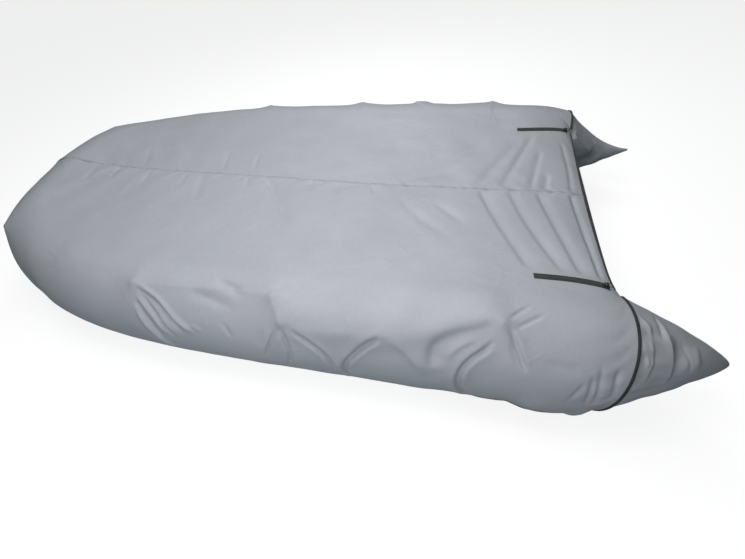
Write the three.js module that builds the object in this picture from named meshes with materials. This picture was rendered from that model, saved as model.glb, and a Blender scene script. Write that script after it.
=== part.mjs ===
// Fitted cover for a small inflatable dinghy: two half panels of coated cloth joined on a centre
// seam, a conical pocket over each tube end, black bindings and a zip at each stern corner.
//
// Millimetres. X runs from the bow (-) to the stern (+), Y to starboard and Z up. The shapes are
// worked out in boat coordinates, with x = 0 at the stern seam and z = 0 at the foot of the
// tubes, and the whole group is then moved so that its origin lies under the top, on the centre
// line, at the mount that the boat holds it by.

import * as THREE from 'three';
import { mergeVertices } from 'three/addons/utils/BufferGeometryUtils.js';

const rad = THREE.MathUtils.degToRad;

// ---- Driving dimensions ---------------------------------------------------------------------
const CLOTH = 2;                // thickness of the coated cloth
const GAP = 0.3;                // space left between neighbouring pieces
const TUBE_RADIUS = 205;        // outside of the cloth round a side tube
const TUBE_OFFSET = 624.5;      // centre line of a side tube from the centre line of the boat
const STRAIGHT_RUN = 932;       // stern seam to the start of the bow curve
const BOW_RUN = 1506;           // length of the bow curve, along X
const BOW_EXPONENT = 3.18;      // fullness of the bow curve, a superellipse in plan
const NOSE_RADIUS = 215;        // outside of the cloth round the nose
const NOSE_LIFT = 38;           // how far the tube's centre line rises at the nose
const LIFT_START = 2110;        // distance forward of the stern seam where it starts to rise
const LIFT_POWER = 1.8;
const FAN_END = 260;            // the last section meets the centre seam this far aft of the nose
const FAN_SLOPE = 0.175;        // and there the seam is covered this much slower than the tube
const RUN_STEP = 20;            // half the length that a tube's direction is measured over
const SAG_SHAPE = 1.7;          // 2 is a round-bottomed sag across the boat, 1 a straight line
const STERN_DROP = 4.5;         // the tube's centre line is this much lower at the stern seam
const TAPER_RUN = 190;          // and it grows slimmer over this length
const MOUTH_FORWARD = 20;       // middle of the pocket's mouth, forward of the transom edge
const MOUTH_RAKE = 0.183;       // the mouth leans: its top is aft of its foot
const MOUTH_SLEW = 0.061;       // and its outer side is aft of its inner side
const MOUTH_RUN = 320;          // the panel's sections straighten up over this length
const TRANSOM_FORWARD = 3;      // the transom edge is cut back by this much at its middle
const CORNER_RUN = 90;          // the top comes down onto the pocket's mouth over this length
const CORNER_POWER = 12;        // how closely the transom edge keeps straight up to the corner
const FOLD_START = 25;          // the folds begin this far forward of the stern seam
const FOLD_RUN = 60;            // and have their full height after this length
const POCKET_TIP_RADIUS = 5;
const POCKET_TIP_CAP = 2;       // the tip is rounded off by this much beyond its last ring
const POCKET_CROWDING = 1.2;    // over 1, the pocket's rings lie closer at its mouth
const BINDING_WIDTH = 10;
const BINDING_TAPE = 1;         // thickness of one ply of binding tape
const BINDING_CLEARANCE = 0.8;  // between the tape and the faces of the cloth
const RING_BINDING = 2;         // thickness of the bound ring seam
const RING_FLARE = 1.2;         // its forward edge is this much wider in radius
const RING_PAST_CORNER = 2.4;   // degrees round the mouth where it starts beside the corner,
const RING_OPEN = 13;           // and the stretch that the sheet lies over, where it stops
const ZIP_START = 26;           // forward of the stern seam
const ZIP_END = 246;
const ZIP_WIDTH = 25;
const ZIP_TAPE = 1.2;
const ZIP_CLEARANCE = 0.95;
const ZIP_CHAIN = 8.5;          // width of the middle strip of the tape
const SLIDER_ALONG = 36;        // middle of the slider, forward of the stern seam
const SLIDER_LENGTH = 21;
const SLIDER_WIDTH = 13;
const SLIDER_HEIGHT = 4.4;
const SLIDER_BEVEL = 2;         // length and height cut off the ends of its top
const SLIDER_BEVEL_DROP = 1.3;
const BRIDGE_LENGTH = 13;
const BRIDGE_HEIGHT = 4.2;
const BRIDGE_BEVEL = 1;         // its top corners are cut off in two steps of this size
const BRIDGE_HOLE = 2.4;        // height of the slot that the pull passes through
const BRIDGE_SLOT = 5.4;        // and its length, which clears the pull's curve
const PULL_HEIGHT = 6.2;        // height of that hole's middle above the tape
const PULL_RADIUS = 9;
const PULL_WIRE = 0.9;
const PULL_TILT = rad(-6);
const MOUNT_BACK = 1226;        // the origin lies this far forward of the stern seam
const MOUNT_DROP = 6;           // and this far under the top of the sheet

const TOP_STEPS = 8;            // rows from the centre seam to the crown of the tube
const ROUND_STEPS = 14;         // rows round the tube, crown to hem
const POCKET_ROUND_STEPS = 24;
const POCKET_LONG_STEPS = 6;
const RING_STEPS = 44;
const ZIP_STEPS = 9;
const PULL_SIDES = 6;           // facets round the wire, and along it
const PULL_STEPS = 20;
const PROBE = 8;                // half the length that a slider's slope is measured over
const MERGE = 1e-3;             // points of a three.js shape closer than this are one

// Sections along each half panel: closer where the sheet turns down at the stern.
const SECTION_RUNS = [
  { to: 300, steps: 11 },
  { to: 1750, steps: 26 },
  { to: Infinity, steps: 17 },
];

// Height of the top of the sheet along the centre seam.
const SEAM_HEIGHT = [
  { x: -2445, z: 441 },
  { x: -2372, z: 434 },
  { x: -2160, z: 418 },
  { x: -1982, z: 406 },
  { x: -1442, z: 389 },
  { x: -832, z: 367 },
  { x: -322, z: 364 },
  { x: -112, z: 363 },
  { x: -58, z: 358 },
  { x: 0, z: 342 },
];

// Where the hem lies round the tube, in degrees from its crown, by distance along the tube.
// On the port side the hem has ridden up just forward of the stern pocket.
const HEM_PORT = [
  { along: 0, angle: 150 },
  { along: 80, angle: 134 },
  { along: 160, angle: 122 },
  { along: 290, angle: 120 },
  { along: 440, angle: 136 },
  { along: 650, angle: 154 },
  { along: 1000, angle: 164 },
  { along: 1500, angle: 166 },
  { along: 2800, angle: 160 },
];
const HEM_STARBOARD = [
  { along: 0, angle: 163 },
  { along: 200, angle: 160 },
  { along: 700, angle: 165 },
  { along: 1500, angle: 162 },
  { along: 2800, angle: 160 },
];

// Folds and bulges. A route is a line of points on the sheet, each with its distance along the
// tube from the stern seam and its girth from the crown line, outwards round the tube positive.
// Height is out of the sheet and width is the half width where it has fallen to a third.
const FOLDS_PORT = [
  { name: 'fitting 1', height: 15, width: 45, route: [[1614, 112]] },
  { name: 'fitting 2', height: 13, width: 42, route: [[1068, 112], [1030, 190]] },
  { name: 'fitting 3', height: 13, width: 45, route: [[689, 185]] },
  { name: 'fitting 4', height: 15, width: 45, route: [[343, 112]] },
  { name: 'lifeline 1', height: 7, width: 26, route: [[1614, 112], [1407, 103], [1212, 121], [1068, 112]] },
  { name: 'lifeline 2', height: 7, width: 26, route: [[1000, 200], [840, 196], [689, 185]] },
  { name: 'lifeline 3', height: 7, width: 26, route: [[689, 185], [500, 150], [343, 112]] },
  { name: 'groove 1', height: -9, width: 30, route: [[1585, 150], [1500, 215], [1430, 270], [1380, 330]] },
  { name: 'hollow 1', height: -7, width: 38, route: [[1290, 60], [1180, 88]] },
  { name: 'groove 2', height: -8, width: 28, route: [[1040, 225], [1075, 290], [1110, 350]] },
  { name: 'groove 3', height: -10, width: 32, route: [[700, 220], [760, 275], [840, 330], [830, 370]] },
  { name: 'groove 4', height: -10, width: 34, route: [[380, 150], [480, 200], [590, 280], [610, 340]] },
  { name: 'groove 5', height: -7, width: 26, route: [[325, 150], [290, 230], [270, 300]] },
  { name: 'transom fold 1', height: -5, width: 34, route: [[150, -560], [90, -330], [70, -150]] },
  { name: 'transom fold 2', height: -5, width: 34, route: [[260, -560], [170, -330], [130, -130]] },
];
const FOLDS_STARBOARD = [
  { name: 'fitting 1', height: 14, width: 45, route: [[1600, 116]] },
  { name: 'fitting 2', height: 13, width: 42, route: [[1050, 130]] },
  { name: 'fitting 3', height: 13, width: 45, route: [[690, 150]] },
  { name: 'fitting 4', height: 14, width: 45, route: [[345, 116]] },
  { name: 'lifeline 1', height: 7, width: 26, route: [[1600, 116], [1320, 138], [1050, 130]] },
  { name: 'lifeline 2', height: 7, width: 26, route: [[1050, 130], [690, 150], [345, 116]] },
  { name: 'groove 1', height: -8, width: 32, route: [[1580, 150], [1490, 230], [1440, 310]] },
  { name: 'groove 2', height: -8, width: 30, route: [[1060, 170], [1110, 250], [1130, 330]] },
  { name: 'groove 3', height: -8, width: 32, route: [[700, 190], [780, 260], [800, 340]] },
  { name: 'groove 4', height: -8, width: 32, route: [[380, 150], [470, 230], [500, 320]] },
  { name: 'transom fold 1', height: -5, width: 34, route: [[230, -120], [190, -260], [100, -520]] },
  { name: 'transom fold 2', height: -4, width: 40, route: [[330, -80], [700, -420]] },
];

// Each side of the cover. Wasting over 1 is a hollow-sided cone and under 1 a full one. The
// stern taper is what the tube loses in radius by the time it meets the pocket. The
// corner angle is where the top meets the pocket's mouth, in degrees from its top, and the
// corner is cut back from the seam. The transom binding ends at its own distance from the
// centre line, and the zip's offsets are those of its middle.
const SIDES = {
  port: {
    pocketLength: 327, pocketLift: 6, wastingTop: 0.77, wastingBottom: 0.89,
    sternTaper: 18, cornerAngle: -29, cornerForward: 12, bindingEnd: 524,
    zipFront: 512, zipStern: 518,
    hem: HEM_PORT, folds: FOLDS_PORT,
  },
  starboard: {
    pocketLength: 313, pocketLift: 0, wastingTop: 1.75, wastingBottom: 0.98,
    sternTaper: 25, cornerAngle: -34, cornerForward: 0, bindingEnd: 500,
    zipFront: 450, zipStern: 484,
    hem: HEM_STARBOARD, folds: FOLDS_STARBOARD,
  },
};

// ---- Small helpers --------------------------------------------------------------------------

// Smooth curve through the rows of a table, looked up by one column and read from another.
function lookUp(rows, key, value, at) {
  const sorted = rows[0][key] <= rows[rows.length - 1][key] ? rows : [...rows].reverse();
  const last = sorted.length - 1;
  if (at <= sorted[0][key]) return sorted[0][value];
  if (at >= sorted[last][key]) return sorted[last][value];
  const i = sorted.findIndex((row, k) => k < last && at < sorted[k + 1][key]);
  const slope = (k) => {
    const low = sorted[Math.max(k - 1, 0)];
    const high = sorted[Math.min(k + 1, last)];
    return (high[value] - low[value]) / (high[key] - low[key]);
  };
  const span = sorted[i + 1][key] - sorted[i][key];
  const t = (at - sorted[i][key]) / span;
  const rise = sorted[i + 1][value] - sorted[i][value];
  const ease = t * t * (3 - 2 * t);
  const leave = t * (1 - t) ** 2 * slope(i) * span;
  const arrive = t * t * (t - 1) * slope(i + 1) * span;
  return sorted[i][value] + rise * ease + leave + arrive;
}

function smoothStep(t) {
  const s = THREE.MathUtils.clamp(t, 0, 1);
  return s * s * (3 - 2 * s);
}

// Centre line of the starboard tube in plan, from the stern seam to the nose.
class TubePath extends THREE.Curve {
  getPoint(t, target = new THREE.Vector3()) {
    const turn = STRAIGHT_RUN / (STRAIGHT_RUN + BOW_RUN);
    if (t <= turn) return target.set(-(t / turn) * STRAIGHT_RUN, TUBE_OFFSET, 0);
    const sweep = ((t - turn) / (1 - turn)) * (Math.PI / 2);
    const reach = ((Math.sin(sweep) / BOW_RUN) ** BOW_EXPONENT
      + (Math.cos(sweep) / TUBE_OFFSET) ** BOW_EXPONENT) ** (-1 / BOW_EXPONENT);
    return target.set(-STRAIGHT_RUN - reach * Math.sin(sweep), reach * Math.cos(sweep), 0);
  }
}

const tubePath = new TubePath();
tubePath.arcLengthDivisions = 1200;
const TUBE_LENGTH = tubePath.getLength();

// Distances along the tube of the sections, the first just clear of the pocket's mouth.
function sectionStations() {
  const stations = [GAP / 2];
  for (const { to, steps } of SECTION_RUNS) {
    const from = stations[stations.length - 1];
    const end = Math.min(to, TUBE_LENGTH);
    for (let i = 1; i <= steps; i += 1) stations.push(from + (i / steps) * (end - from));
  }
  return stations;
}

const STATIONS = sectionStations();
const LAST_SECTION = STATIONS.length - 1;
const HEM_ROW = TOP_STEPS + ROUND_STEPS;

// The tube at a distance along it: centre, radius and the level direction out of the boat.
function tubeAt(along, { sternTaper }) {
  const centre = tubePath.getPointAt(along / TUBE_LENGTH);
  const back = tubePath.getPointAt(Math.max(along - RUN_STEP, 0) / TUBE_LENGTH);
  const ahead = tubePath.getPointAt(Math.min(along + RUN_STEP, TUBE_LENGTH) / TUBE_LENGTH);
  if (along + RUN_STEP > TUBE_LENGTH) {
    ahead.copy(tubePath.getPointAt((2 * TUBE_LENGTH - along - RUN_STEP) / TUBE_LENGTH));
    ahead.y = -ahead.y;
  }
  const run = ahead.sub(back).normalize();
  const rise = THREE.MathUtils.clamp(
    (-centre.x - LIFT_START) / (STRAIGHT_RUN + BOW_RUN - LIFT_START), 0, 1);
  const taper = Math.max(1 - along / TAPER_RUN, 0) ** 2;
  const height = TUBE_RADIUS + NOSE_LIFT * rise ** LIFT_POWER - STERN_DROP * taper;
  return {
    centre: new THREE.Vector3(centre.x, centre.y, height),
    radius: TUBE_RADIUS + (NOSE_RADIUS - TUBE_RADIUS) * rise ** 2 - sternTaper * taper,
    out: new THREE.Vector3(run.y, -run.x, 0),
  };
}

// Point of the pocket's mouth at an angle from its top. The mouth leans, so it isn't square to
// the boat.
function mouthPoint(angle, side, outset = 0) {
  const { centre, radius } = tubeAt(0, side);
  const lean = MOUTH_RAKE * Math.cos(angle) + MOUTH_SLEW * Math.sin(angle);
  return new THREE.Vector3(
    radius * lean - MOUTH_FORWARD,
    centre.y + (radius + outset) * Math.sin(angle),
    centre.z + (radius + outset) * Math.cos(angle),
  );
}

// Where the section through a point of the tube meets the centre seam. The sections are square
// to the boat along the straight tubes and fan out round the bow.
function seamX(along) {
  if (along <= STRAIGHT_RUN) return -along;
  const span = TUBE_LENGTH - STRAIGHT_RUN;
  const t = (along - STRAIGHT_RUN) / span;
  const end = -(STRAIGHT_RUN + BOW_RUN - FAN_END);
  const ease = t * t * (3 - 2 * t);
  const leave = t * (1 - t) ** 2 * span;
  const arrive = t * t * (t - 1) * span * FAN_SLOPE;
  return -STRAIGHT_RUN + (end + STRAIGHT_RUN) * ease - leave - arrive;
}

// One cross-section of a half: the sagging top, then the wrap round the tube. Both halves are
// worked out to starboard, and the port one is mirrored at the end.
function sectionAt(along, side) {
  const tube = tubeAt(along, side);
  const x = seamX(along);
  const seam = new THREE.Vector3(x, 0, lookUp(SEAM_HEIGHT, 'x', 'z', x));
  const reach = Math.hypot(tube.centre.x - x, tube.centre.y);
  const fall = tube.centre.z + tube.radius - seam.z;
  const free = -Math.atan((SAG_SHAPE * fall) / reach);
  const settle = Math.max(1 - along / CORNER_RUN, 0) ** 2;
  return { tube, seam, crown: free + (rad(side.cornerAngle) - free) * settle };
}

function onTube(tube, angle) {
  return tube.centre.clone()
    .addScaledVector(tube.out, tube.radius * Math.sin(angle))
    .add(new THREE.Vector3(0, 0, tube.radius * Math.cos(angle)));
}

// A point of the smooth sheet. Across runs 0 to 1 from the centre seam to the crown
// line, and 1 to 2 from there round the tube to the hem.
function smoothPoint(along, across, side) {
  const { tube, seam, crown } = sectionAt(along, side);
  const crownPoint = onTube(tube, crown);
  const skew = Math.max(1 - along / MOUTH_RUN, 0) ** 2;
  if (across <= 1) {
    const drop = crownPoint.z - seam.z;
    const point = seam.clone().lerp(crownPoint, across);
    point.z += drop * (SAG_SHAPE - 1) * (across * across - across);
    const edge = -TRANSOM_FORWARD - (side.cornerForward - TRANSOM_FORWARD) * across;
    point.x += skew * THREE.MathUtils.lerp(edge, mouthPoint(crown, side).x, across ** CORNER_POWER);
    return { point, girth: -(1 - across) * crownPoint.distanceTo(seam) };
  }
  const hem = rad(lookUp(side.hem, 'along', 'angle', along));
  const angle = crown + (across - 1) * (hem - crown);
  const point = onTube(tube, angle);
  point.x += skew * mouthPoint(angle, side).x;
  return { point, girth: (angle - crown) * tube.radius };
}

// Height of the folds above the smooth sheet. They fade out towards the seams and bindings.
function foldHeight(folds, along, girth) {
  const here = new THREE.Vector2(along, girth);
  const edge = smoothStep((along - FOLD_START) / FOLD_RUN);
  return edge * folds.reduce((sum, fold) => {
    const points = fold.route.map(([a, g]) => new THREE.Vector2(a, g));
    const starts = points.length > 1 ? points.slice(0, -1) : points;
    const distance = Math.min(...starts.map((start, i) => {
      const run = (points[i + 1] ?? start).clone().sub(start);
      const t = run.lengthSq() > 0 ? here.clone().sub(start).dot(run) / run.lengthSq() : 0;
      return here.distanceTo(run.multiplyScalar(THREE.MathUtils.clamp(t, 0, 1)).add(start));
    }));
    return sum + fold.height * Math.exp(-((distance / fold.width) ** 2));
  }, 0);
}

// ---- Turning grids and sections into closed solids ------------------------------------------

function solidFrom(positions, triangles) {
  const geometry = new THREE.BufferGeometry();
  const flat = positions.flatMap((p) => [p.x, p.y, p.z]);
  geometry.setAttribute('position', new THREE.Float32BufferAttribute(flat, 3));
  geometry.setIndex(triangles.flat());
  return geometry;
}

function flipped(triangles) {
  return triangles.map(([a, b, c]) => [a, c, b]);
}

// Normals of a grid of points, taken from the points either side of each.
function gridNormals(grid) {
  const rows = grid.length;
  const columns = grid[0].length;
  return grid.map((row, i) => row.map((_, j) => {
    const down = grid[Math.min(i + 1, rows - 1)][j].clone().sub(grid[Math.max(i - 1, 0)][j]);
    const over = row[Math.min(j + 1, columns - 1)].clone().sub(row[Math.max(j - 1, 0)]);
    return down.cross(over).normalize();
  }));
}

// A sheet of cloth: the grid is its outer face and the inner face lies one thickness under it.
function sheetSolid(grid, normals, thickness) {
  const rows = grid.length;
  const columns = grid[0].length;
  const inner = grid.map((row, i) => row.map((p, j) => (
    p.clone().addScaledVector(normals[i][j], -thickness))));
  const positions = [...grid.flat(), ...inner.flat()];
  const outerAt = (i, j) => i * columns + j;
  const innerAt = (i, j) => rows * columns + i * columns + j;
  const triangles = [];
  for (let i = 0; i < rows - 1; i += 1) {
    for (let j = 0; j < columns - 1; j += 1) {
      triangles.push([outerAt(i, j), outerAt(i + 1, j), outerAt(i + 1, j + 1)]);
      triangles.push([outerAt(i, j), outerAt(i + 1, j + 1), outerAt(i, j + 1)]);
      triangles.push([innerAt(i, j), innerAt(i + 1, j + 1), innerAt(i + 1, j)]);
      triangles.push([innerAt(i, j), innerAt(i, j + 1), innerAt(i + 1, j + 1)]);
    }
  }
  const rim = [];
  for (let i = 0; i < rows - 1; i += 1) rim.push([i, 0]);
  for (let j = 0; j < columns - 1; j += 1) rim.push([rows - 1, j]);
  for (let i = rows - 1; i > 0; i -= 1) rim.push([i, columns - 1]);
  for (let j = columns - 1; j > 0; j -= 1) rim.push([0, j]);
  rim.forEach(([i, j], k) => {
    const [m, n] = rim[(k + 1) % rim.length];
    triangles.push([outerAt(i, j), innerAt(i, j), innerAt(m, n)]);
    triangles.push([outerAt(i, j), innerAt(m, n), outerAt(m, n)]);
  });
  return { positions, triangles };
}

// The sides of a bar whose section is the same polygon at every station.
function sweptSolid(sections) {
  const sides = sections[0].length;
  const positions = sections.flat();
  const count = sections.length;
  const at = (i, j) => i * sides + (j % sides);
  const triangles = [];
  for (let i = 0; i < count - 1; i += 1) {
    for (let j = 0; j < sides; j += 1) {
      triangles.push([at(i, j), at(i + 1, j), at(i + 1, j + 1)]);
      triangles.push([at(i, j), at(i + 1, j + 1), at(i, j + 1)]);
    }
  }
  return { positions, triangles, sides, count };
}

function capped(bar, outline) {
  const areaSign = (points) => Math.sign(THREE.ShapeUtils.area(points));
  const near = THREE.ShapeUtils.triangulateShape(outline, []).map((corner) => (
    areaSign(corner.map((k) => outline[k])) === areaSign(outline) ? corner : [...corner].reverse()));
  const last = (bar.count - 1) * bar.sides;
  const far = flipped(near).map((corner) => corner.map((k) => last + k));
  return { positions: bar.positions, triangles: [...bar.triangles, ...near, ...far] };
}

// Signed volume, so that a mirrored or reversed solid can be turned the right way out.
function volumeOf({ positions, triangles }) {
  return triangles.reduce((sum, [a, b, c]) => (
    sum + positions[a].dot(positions[b].clone().cross(positions[c])) / 6), 0);
}

function mirrored(points) {
  return points.map((p) => new THREE.Vector3(p.x, -p.y, p.z));
}

function toGeometry(solid, side) {
  const positions = side === 'port' ? mirrored(solid.positions) : solid.positions;
  const turned = volumeOf({ positions, triangles: solid.triangles }) < 0;
  return solidFrom(positions, turned ? flipped(solid.triangles) : solid.triangles);
}

// ---- The pieces -----------------------------------------------------------------------------

// Outer face of one half panel as a grid of points, with its normals.
function panelGrid(side) {
  const rows = STATIONS.map((along) => {
    const row = [];
    for (let j = 0; j <= HEM_ROW; j += 1) {
      const across = j <= TOP_STEPS ? j / TOP_STEPS : 1 + (j - TOP_STEPS) / ROUND_STEPS;
      row.push({ ...smoothPoint(along, across, side), along });
    }
    return row;
  });
  const outward = (normals) => {
    const turn = normals[1][1].z < 0 ? -1 : 1;
    return normals.map((row, i) => row.map((n, j) => {
      const vector = n.multiplyScalar(turn);
      if (j === 0 || i === LAST_SECTION) vector.y = 0;
      return vector.normalize();
    }));
  };
  const smooth = rows.map((row) => row.map(({ point }) => point));
  const lift = outward(gridNormals(smooth));
  const grid = rows.map((row, i) => row.map(({ point, girth, along }, j) => {
    const moved = point.clone().addScaledVector(lift[i][j], foldHeight(side.folds, along, girth));
    moved.y = Math.max(moved.y, GAP / 2);
    return moved;
  }));
  return { grid, normals: outward(gridNormals(grid)) };
}

// Channel of folded tape round an edge: a U whose slot holds the edge of the cloth.
// Out points away from the cloth along its surface and up is the normal of its outer face.
function channelOutline() {
  const tip = GAP + BINDING_TAPE;
  const lip = -(BINDING_WIDTH - tip);
  const top = BINDING_CLEARANCE;
  const bottom = -CLOTH - BINDING_CLEARANCE;
  return [
    [lip, top + BINDING_TAPE], [tip, top + BINDING_TAPE], [tip, bottom - BINDING_TAPE],
    [lip, bottom - BINDING_TAPE], [lip, bottom], [GAP, bottom], [GAP, top], [lip, top],
  ].map(([u, v]) => new THREE.Vector2(u, v));
}

function channelSolid(edge) {
  const outline = channelOutline();
  const sections = edge.map(({ point, out, up }) => outline.map(({ x, y }) => (
    point.clone().addScaledVector(out, x).addScaledVector(up, y))));
  return capped(sweptSolid(sections), outline);
}

function hemBindingSolid(panel) {
  const edge = [];
  for (let i = 1; i < LAST_SECTION; i += 1) {
    const point = panel.grid[i][HEM_ROW];
    const out = point.clone().sub(panel.grid[i][HEM_ROW - 1]);
    const up = panel.normals[i][HEM_ROW];
    out.addScaledVector(up, -out.dot(up)).normalize();
    edge.push({ point, out, up });
  }
  return channelSolid(edge);
}

// Binding of the transom edge, across both halves from corner to corner.
function transomBindingSolid(port, starboard) {
  const edgeOf = (panel, { bindingEnd }, side) => {
    const reach = (bindingEnd / panel.grid[0][TOP_STEPS].y) * TOP_STEPS;
    const columns = [];
    for (let j = 0; j < reach; j += 1) columns.push(j);
    return [...columns, reach].map((column) => {
      const j = Math.floor(column);
      const between = (row) => row[j].clone().lerp(row[j + 1], column - j);
      const turn = (v) => new THREE.Vector3(v.x, v.y * side, v.z);
      const point = turn(between(panel.grid[0]));
      const up = turn(between(panel.normals[0]));
      const out = point.clone().sub(turn(between(panel.grid[1])));
      up.addScaledVector(out, -up.dot(out) / out.lengthSq()).normalize();
      return { point, out: out.normalize(), up };
    });
  };
  return channelSolid([
    ...edgeOf(port, SIDES.port, -1).reverse(),
    ...edgeOf(starboard, SIDES.starboard, 1),
  ]);
}

// Point of a pocket at a fraction of its length and an angle from its top. Inset is measured
// in from the outer face.
function pocketPoint(fraction, angle, inset, side) {
  const { centre, radius } = tubeAt(0, side);
  const low = (1 - Math.cos(angle)) / 2;
  const wasting = side.wastingTop + (side.wastingBottom - side.wastingTop) * low;
  const girth = (radius - POCKET_TIP_RADIUS) * (1 - fraction) ** wasting + POCKET_TIP_RADIUS - inset;
  return new THREE.Vector3(
    GAP / 2 + mouthPoint(angle, side).x * (1 - fraction) + fraction * (side.pocketLength - inset),
    centre.y + girth * Math.sin(angle),
    centre.z + side.pocketLift * fraction + girth * Math.cos(angle),
  );
}

// A cone of cloth, open at its mouth and closed at its tip.
function pocketSolid(side) {
  const faces = [0, CLOTH].map((inset) => {
    const rings = [];
    for (let i = 0; i <= POCKET_LONG_STEPS; i += 1) {
      const fraction = 1 - (1 - i / POCKET_LONG_STEPS) ** POCKET_CROWDING;
      for (let j = 0; j < POCKET_ROUND_STEPS; j += 1) {
        rings.push(pocketPoint(fraction, (j / POCKET_ROUND_STEPS) * 2 * Math.PI, inset, side));
      }
    }
    return rings;
  });
  const size = faces[0].length;
  const { centre } = tubeAt(0, side);
  const tips = [0, CLOTH].map((inset) => new THREE.Vector3(
    GAP / 2 + side.pocketLength + POCKET_TIP_CAP - inset, centre.y, centre.z + side.pocketLift));
  const positions = [...faces[0], ...faces[1], ...tips];
  const at = (face, i, j) => face * size + i * POCKET_ROUND_STEPS + (j % POCKET_ROUND_STEPS);
  const triangles = [];
  for (let j = 0; j < POCKET_ROUND_STEPS; j += 1) {
    for (let i = 0; i < POCKET_LONG_STEPS; i += 1) {
      triangles.push([at(0, i, j), at(0, i, j + 1), at(0, i + 1, j + 1)]);
      triangles.push([at(0, i, j), at(0, i + 1, j + 1), at(0, i + 1, j)]);
      triangles.push([at(1, i, j), at(1, i + 1, j + 1), at(1, i, j + 1)]);
      triangles.push([at(1, i, j), at(1, i + 1, j), at(1, i + 1, j + 1)]);
    }
    const end = POCKET_LONG_STEPS;
    triangles.push([at(0, end, j), at(0, end, j + 1), 2 * size]);
    triangles.push([at(1, end, j + 1), at(1, end, j), 2 * size + 1]);
    triangles.push([at(0, 0, j + 1), at(0, 0, j), at(1, 0, j)]);
    triangles.push([at(0, 0, j + 1), at(1, 0, j), at(1, 0, j + 1)]);
  }
  return { positions, triangles };
}

// Band of tape that covers the seam between panel and pocket, and binds the pocket's mouth
// inside the boat.
function ringBindingSolid(side) {
  const low = BINDING_CLEARANCE;
  const high = low + RING_BINDING;
  const half = BINDING_WIDTH / 2;
  const profile = [
    [-half, low + RING_FLARE], [half, low], [half, high], [-half, high + RING_FLARE],
  ];
  const start = side.cornerAngle + RING_PAST_CORNER;
  const turn = 360 - RING_OPEN;
  const sections = [];
  for (let j = 0; j <= RING_STEPS; j += 1) {
    const angle = rad(start + (j / RING_STEPS) * turn);
    sections.push(profile.map(([x, outset]) => {
      const point = mouthPoint(angle, side, outset);
      point.x += x;
      return point;
    }));
  }
  return capped(sweptSolid(sections), profile.map(([x, y]) => new THREE.Vector2(x, y)));
}

// Point of the top a given distance from the centre line, near the stern.
function pointAtOffset(along, offset, side) {
  const { tube, crown } = sectionAt(along, side);
  const crownOffset = onTube(tube, crown).y;
  return smoothPoint(along, offset / crownOffset, side).point;
}

// Middle line of a zip: it bends outwards as it comes to the corner.
function zipOffset(along, { zipFront, zipStern }) {
  return zipFront + (zipStern - zipFront) * Math.max(1 - along / ZIP_END, 0) ** 2;
}

// Zip tape laid on the sheet, running forward from a stern corner.
function zipSolid(side) {
  const columns = [-ZIP_WIDTH / 2, -ZIP_CHAIN / 2, ZIP_CHAIN / 2, ZIP_WIDTH / 2];
  const rows = [];
  for (let i = 0; i <= ZIP_STEPS; i += 1) {
    const along = ZIP_START + (i / ZIP_STEPS) * (ZIP_END - ZIP_START);
    rows.push(columns.map((across) => (
      pointAtOffset(along, zipOffset(along, side) + across, side))));
  }
  const normals = gridNormals(rows);
  const turn = normals[0][0].z < 0 ? -1 : 1;
  const up = normals.map((row) => row.map((n) => n.multiplyScalar(turn)));
  const lifted = rows.map((row, i) => row.map((p, j) => (
    p.clone().addScaledVector(up[i][j], ZIP_CLEARANCE + ZIP_TAPE))));
  return sheetSolid(lifted, up, ZIP_TAPE);
}

// Frame of the slider: on top of the zip tape, with its axes along the zip, across it and up.
function sliderFrame(side) {
  const offset = zipOffset(SLIDER_ALONG, side);
  const origin = pointAtOffset(SLIDER_ALONG, offset, side);
  const along = pointAtOffset(SLIDER_ALONG - PROBE, offset, side)
    .sub(pointAtOffset(SLIDER_ALONG + PROBE, offset, side)).normalize();
  const across = pointAtOffset(SLIDER_ALONG, offset + PROBE, side)
    .sub(pointAtOffset(SLIDER_ALONG, offset - PROBE, side));
  const up = along.clone().cross(across).normalize();
  across.crossVectors(up, along);
  origin.addScaledVector(up, ZIP_CLEARANCE + ZIP_TAPE + GAP);
  return new THREE.Matrix4().makeBasis(along, up, across.negate()).setPosition(origin);
}

// Indexed geometry of a three.js shape, as the positions and triangles of the other solids.
function solidOf(geometry, matrix) {
  geometry.deleteAttribute('normal');
  geometry.deleteAttribute('uv');
  const merged = mergeVertices(geometry, MERGE);
  const place = merged.getAttribute('position');
  const positions = Array.from({ length: place.count }, (_, k) => (
    new THREE.Vector3().fromBufferAttribute(place, k).applyMatrix4(matrix)));
  const corners = merged.getIndex().array;
  const triangles = [];
  for (let k = 0; k < corners.length; k += 3) triangles.push([...corners.slice(k, k + 3)]);
  return { positions, triangles };
}

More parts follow.
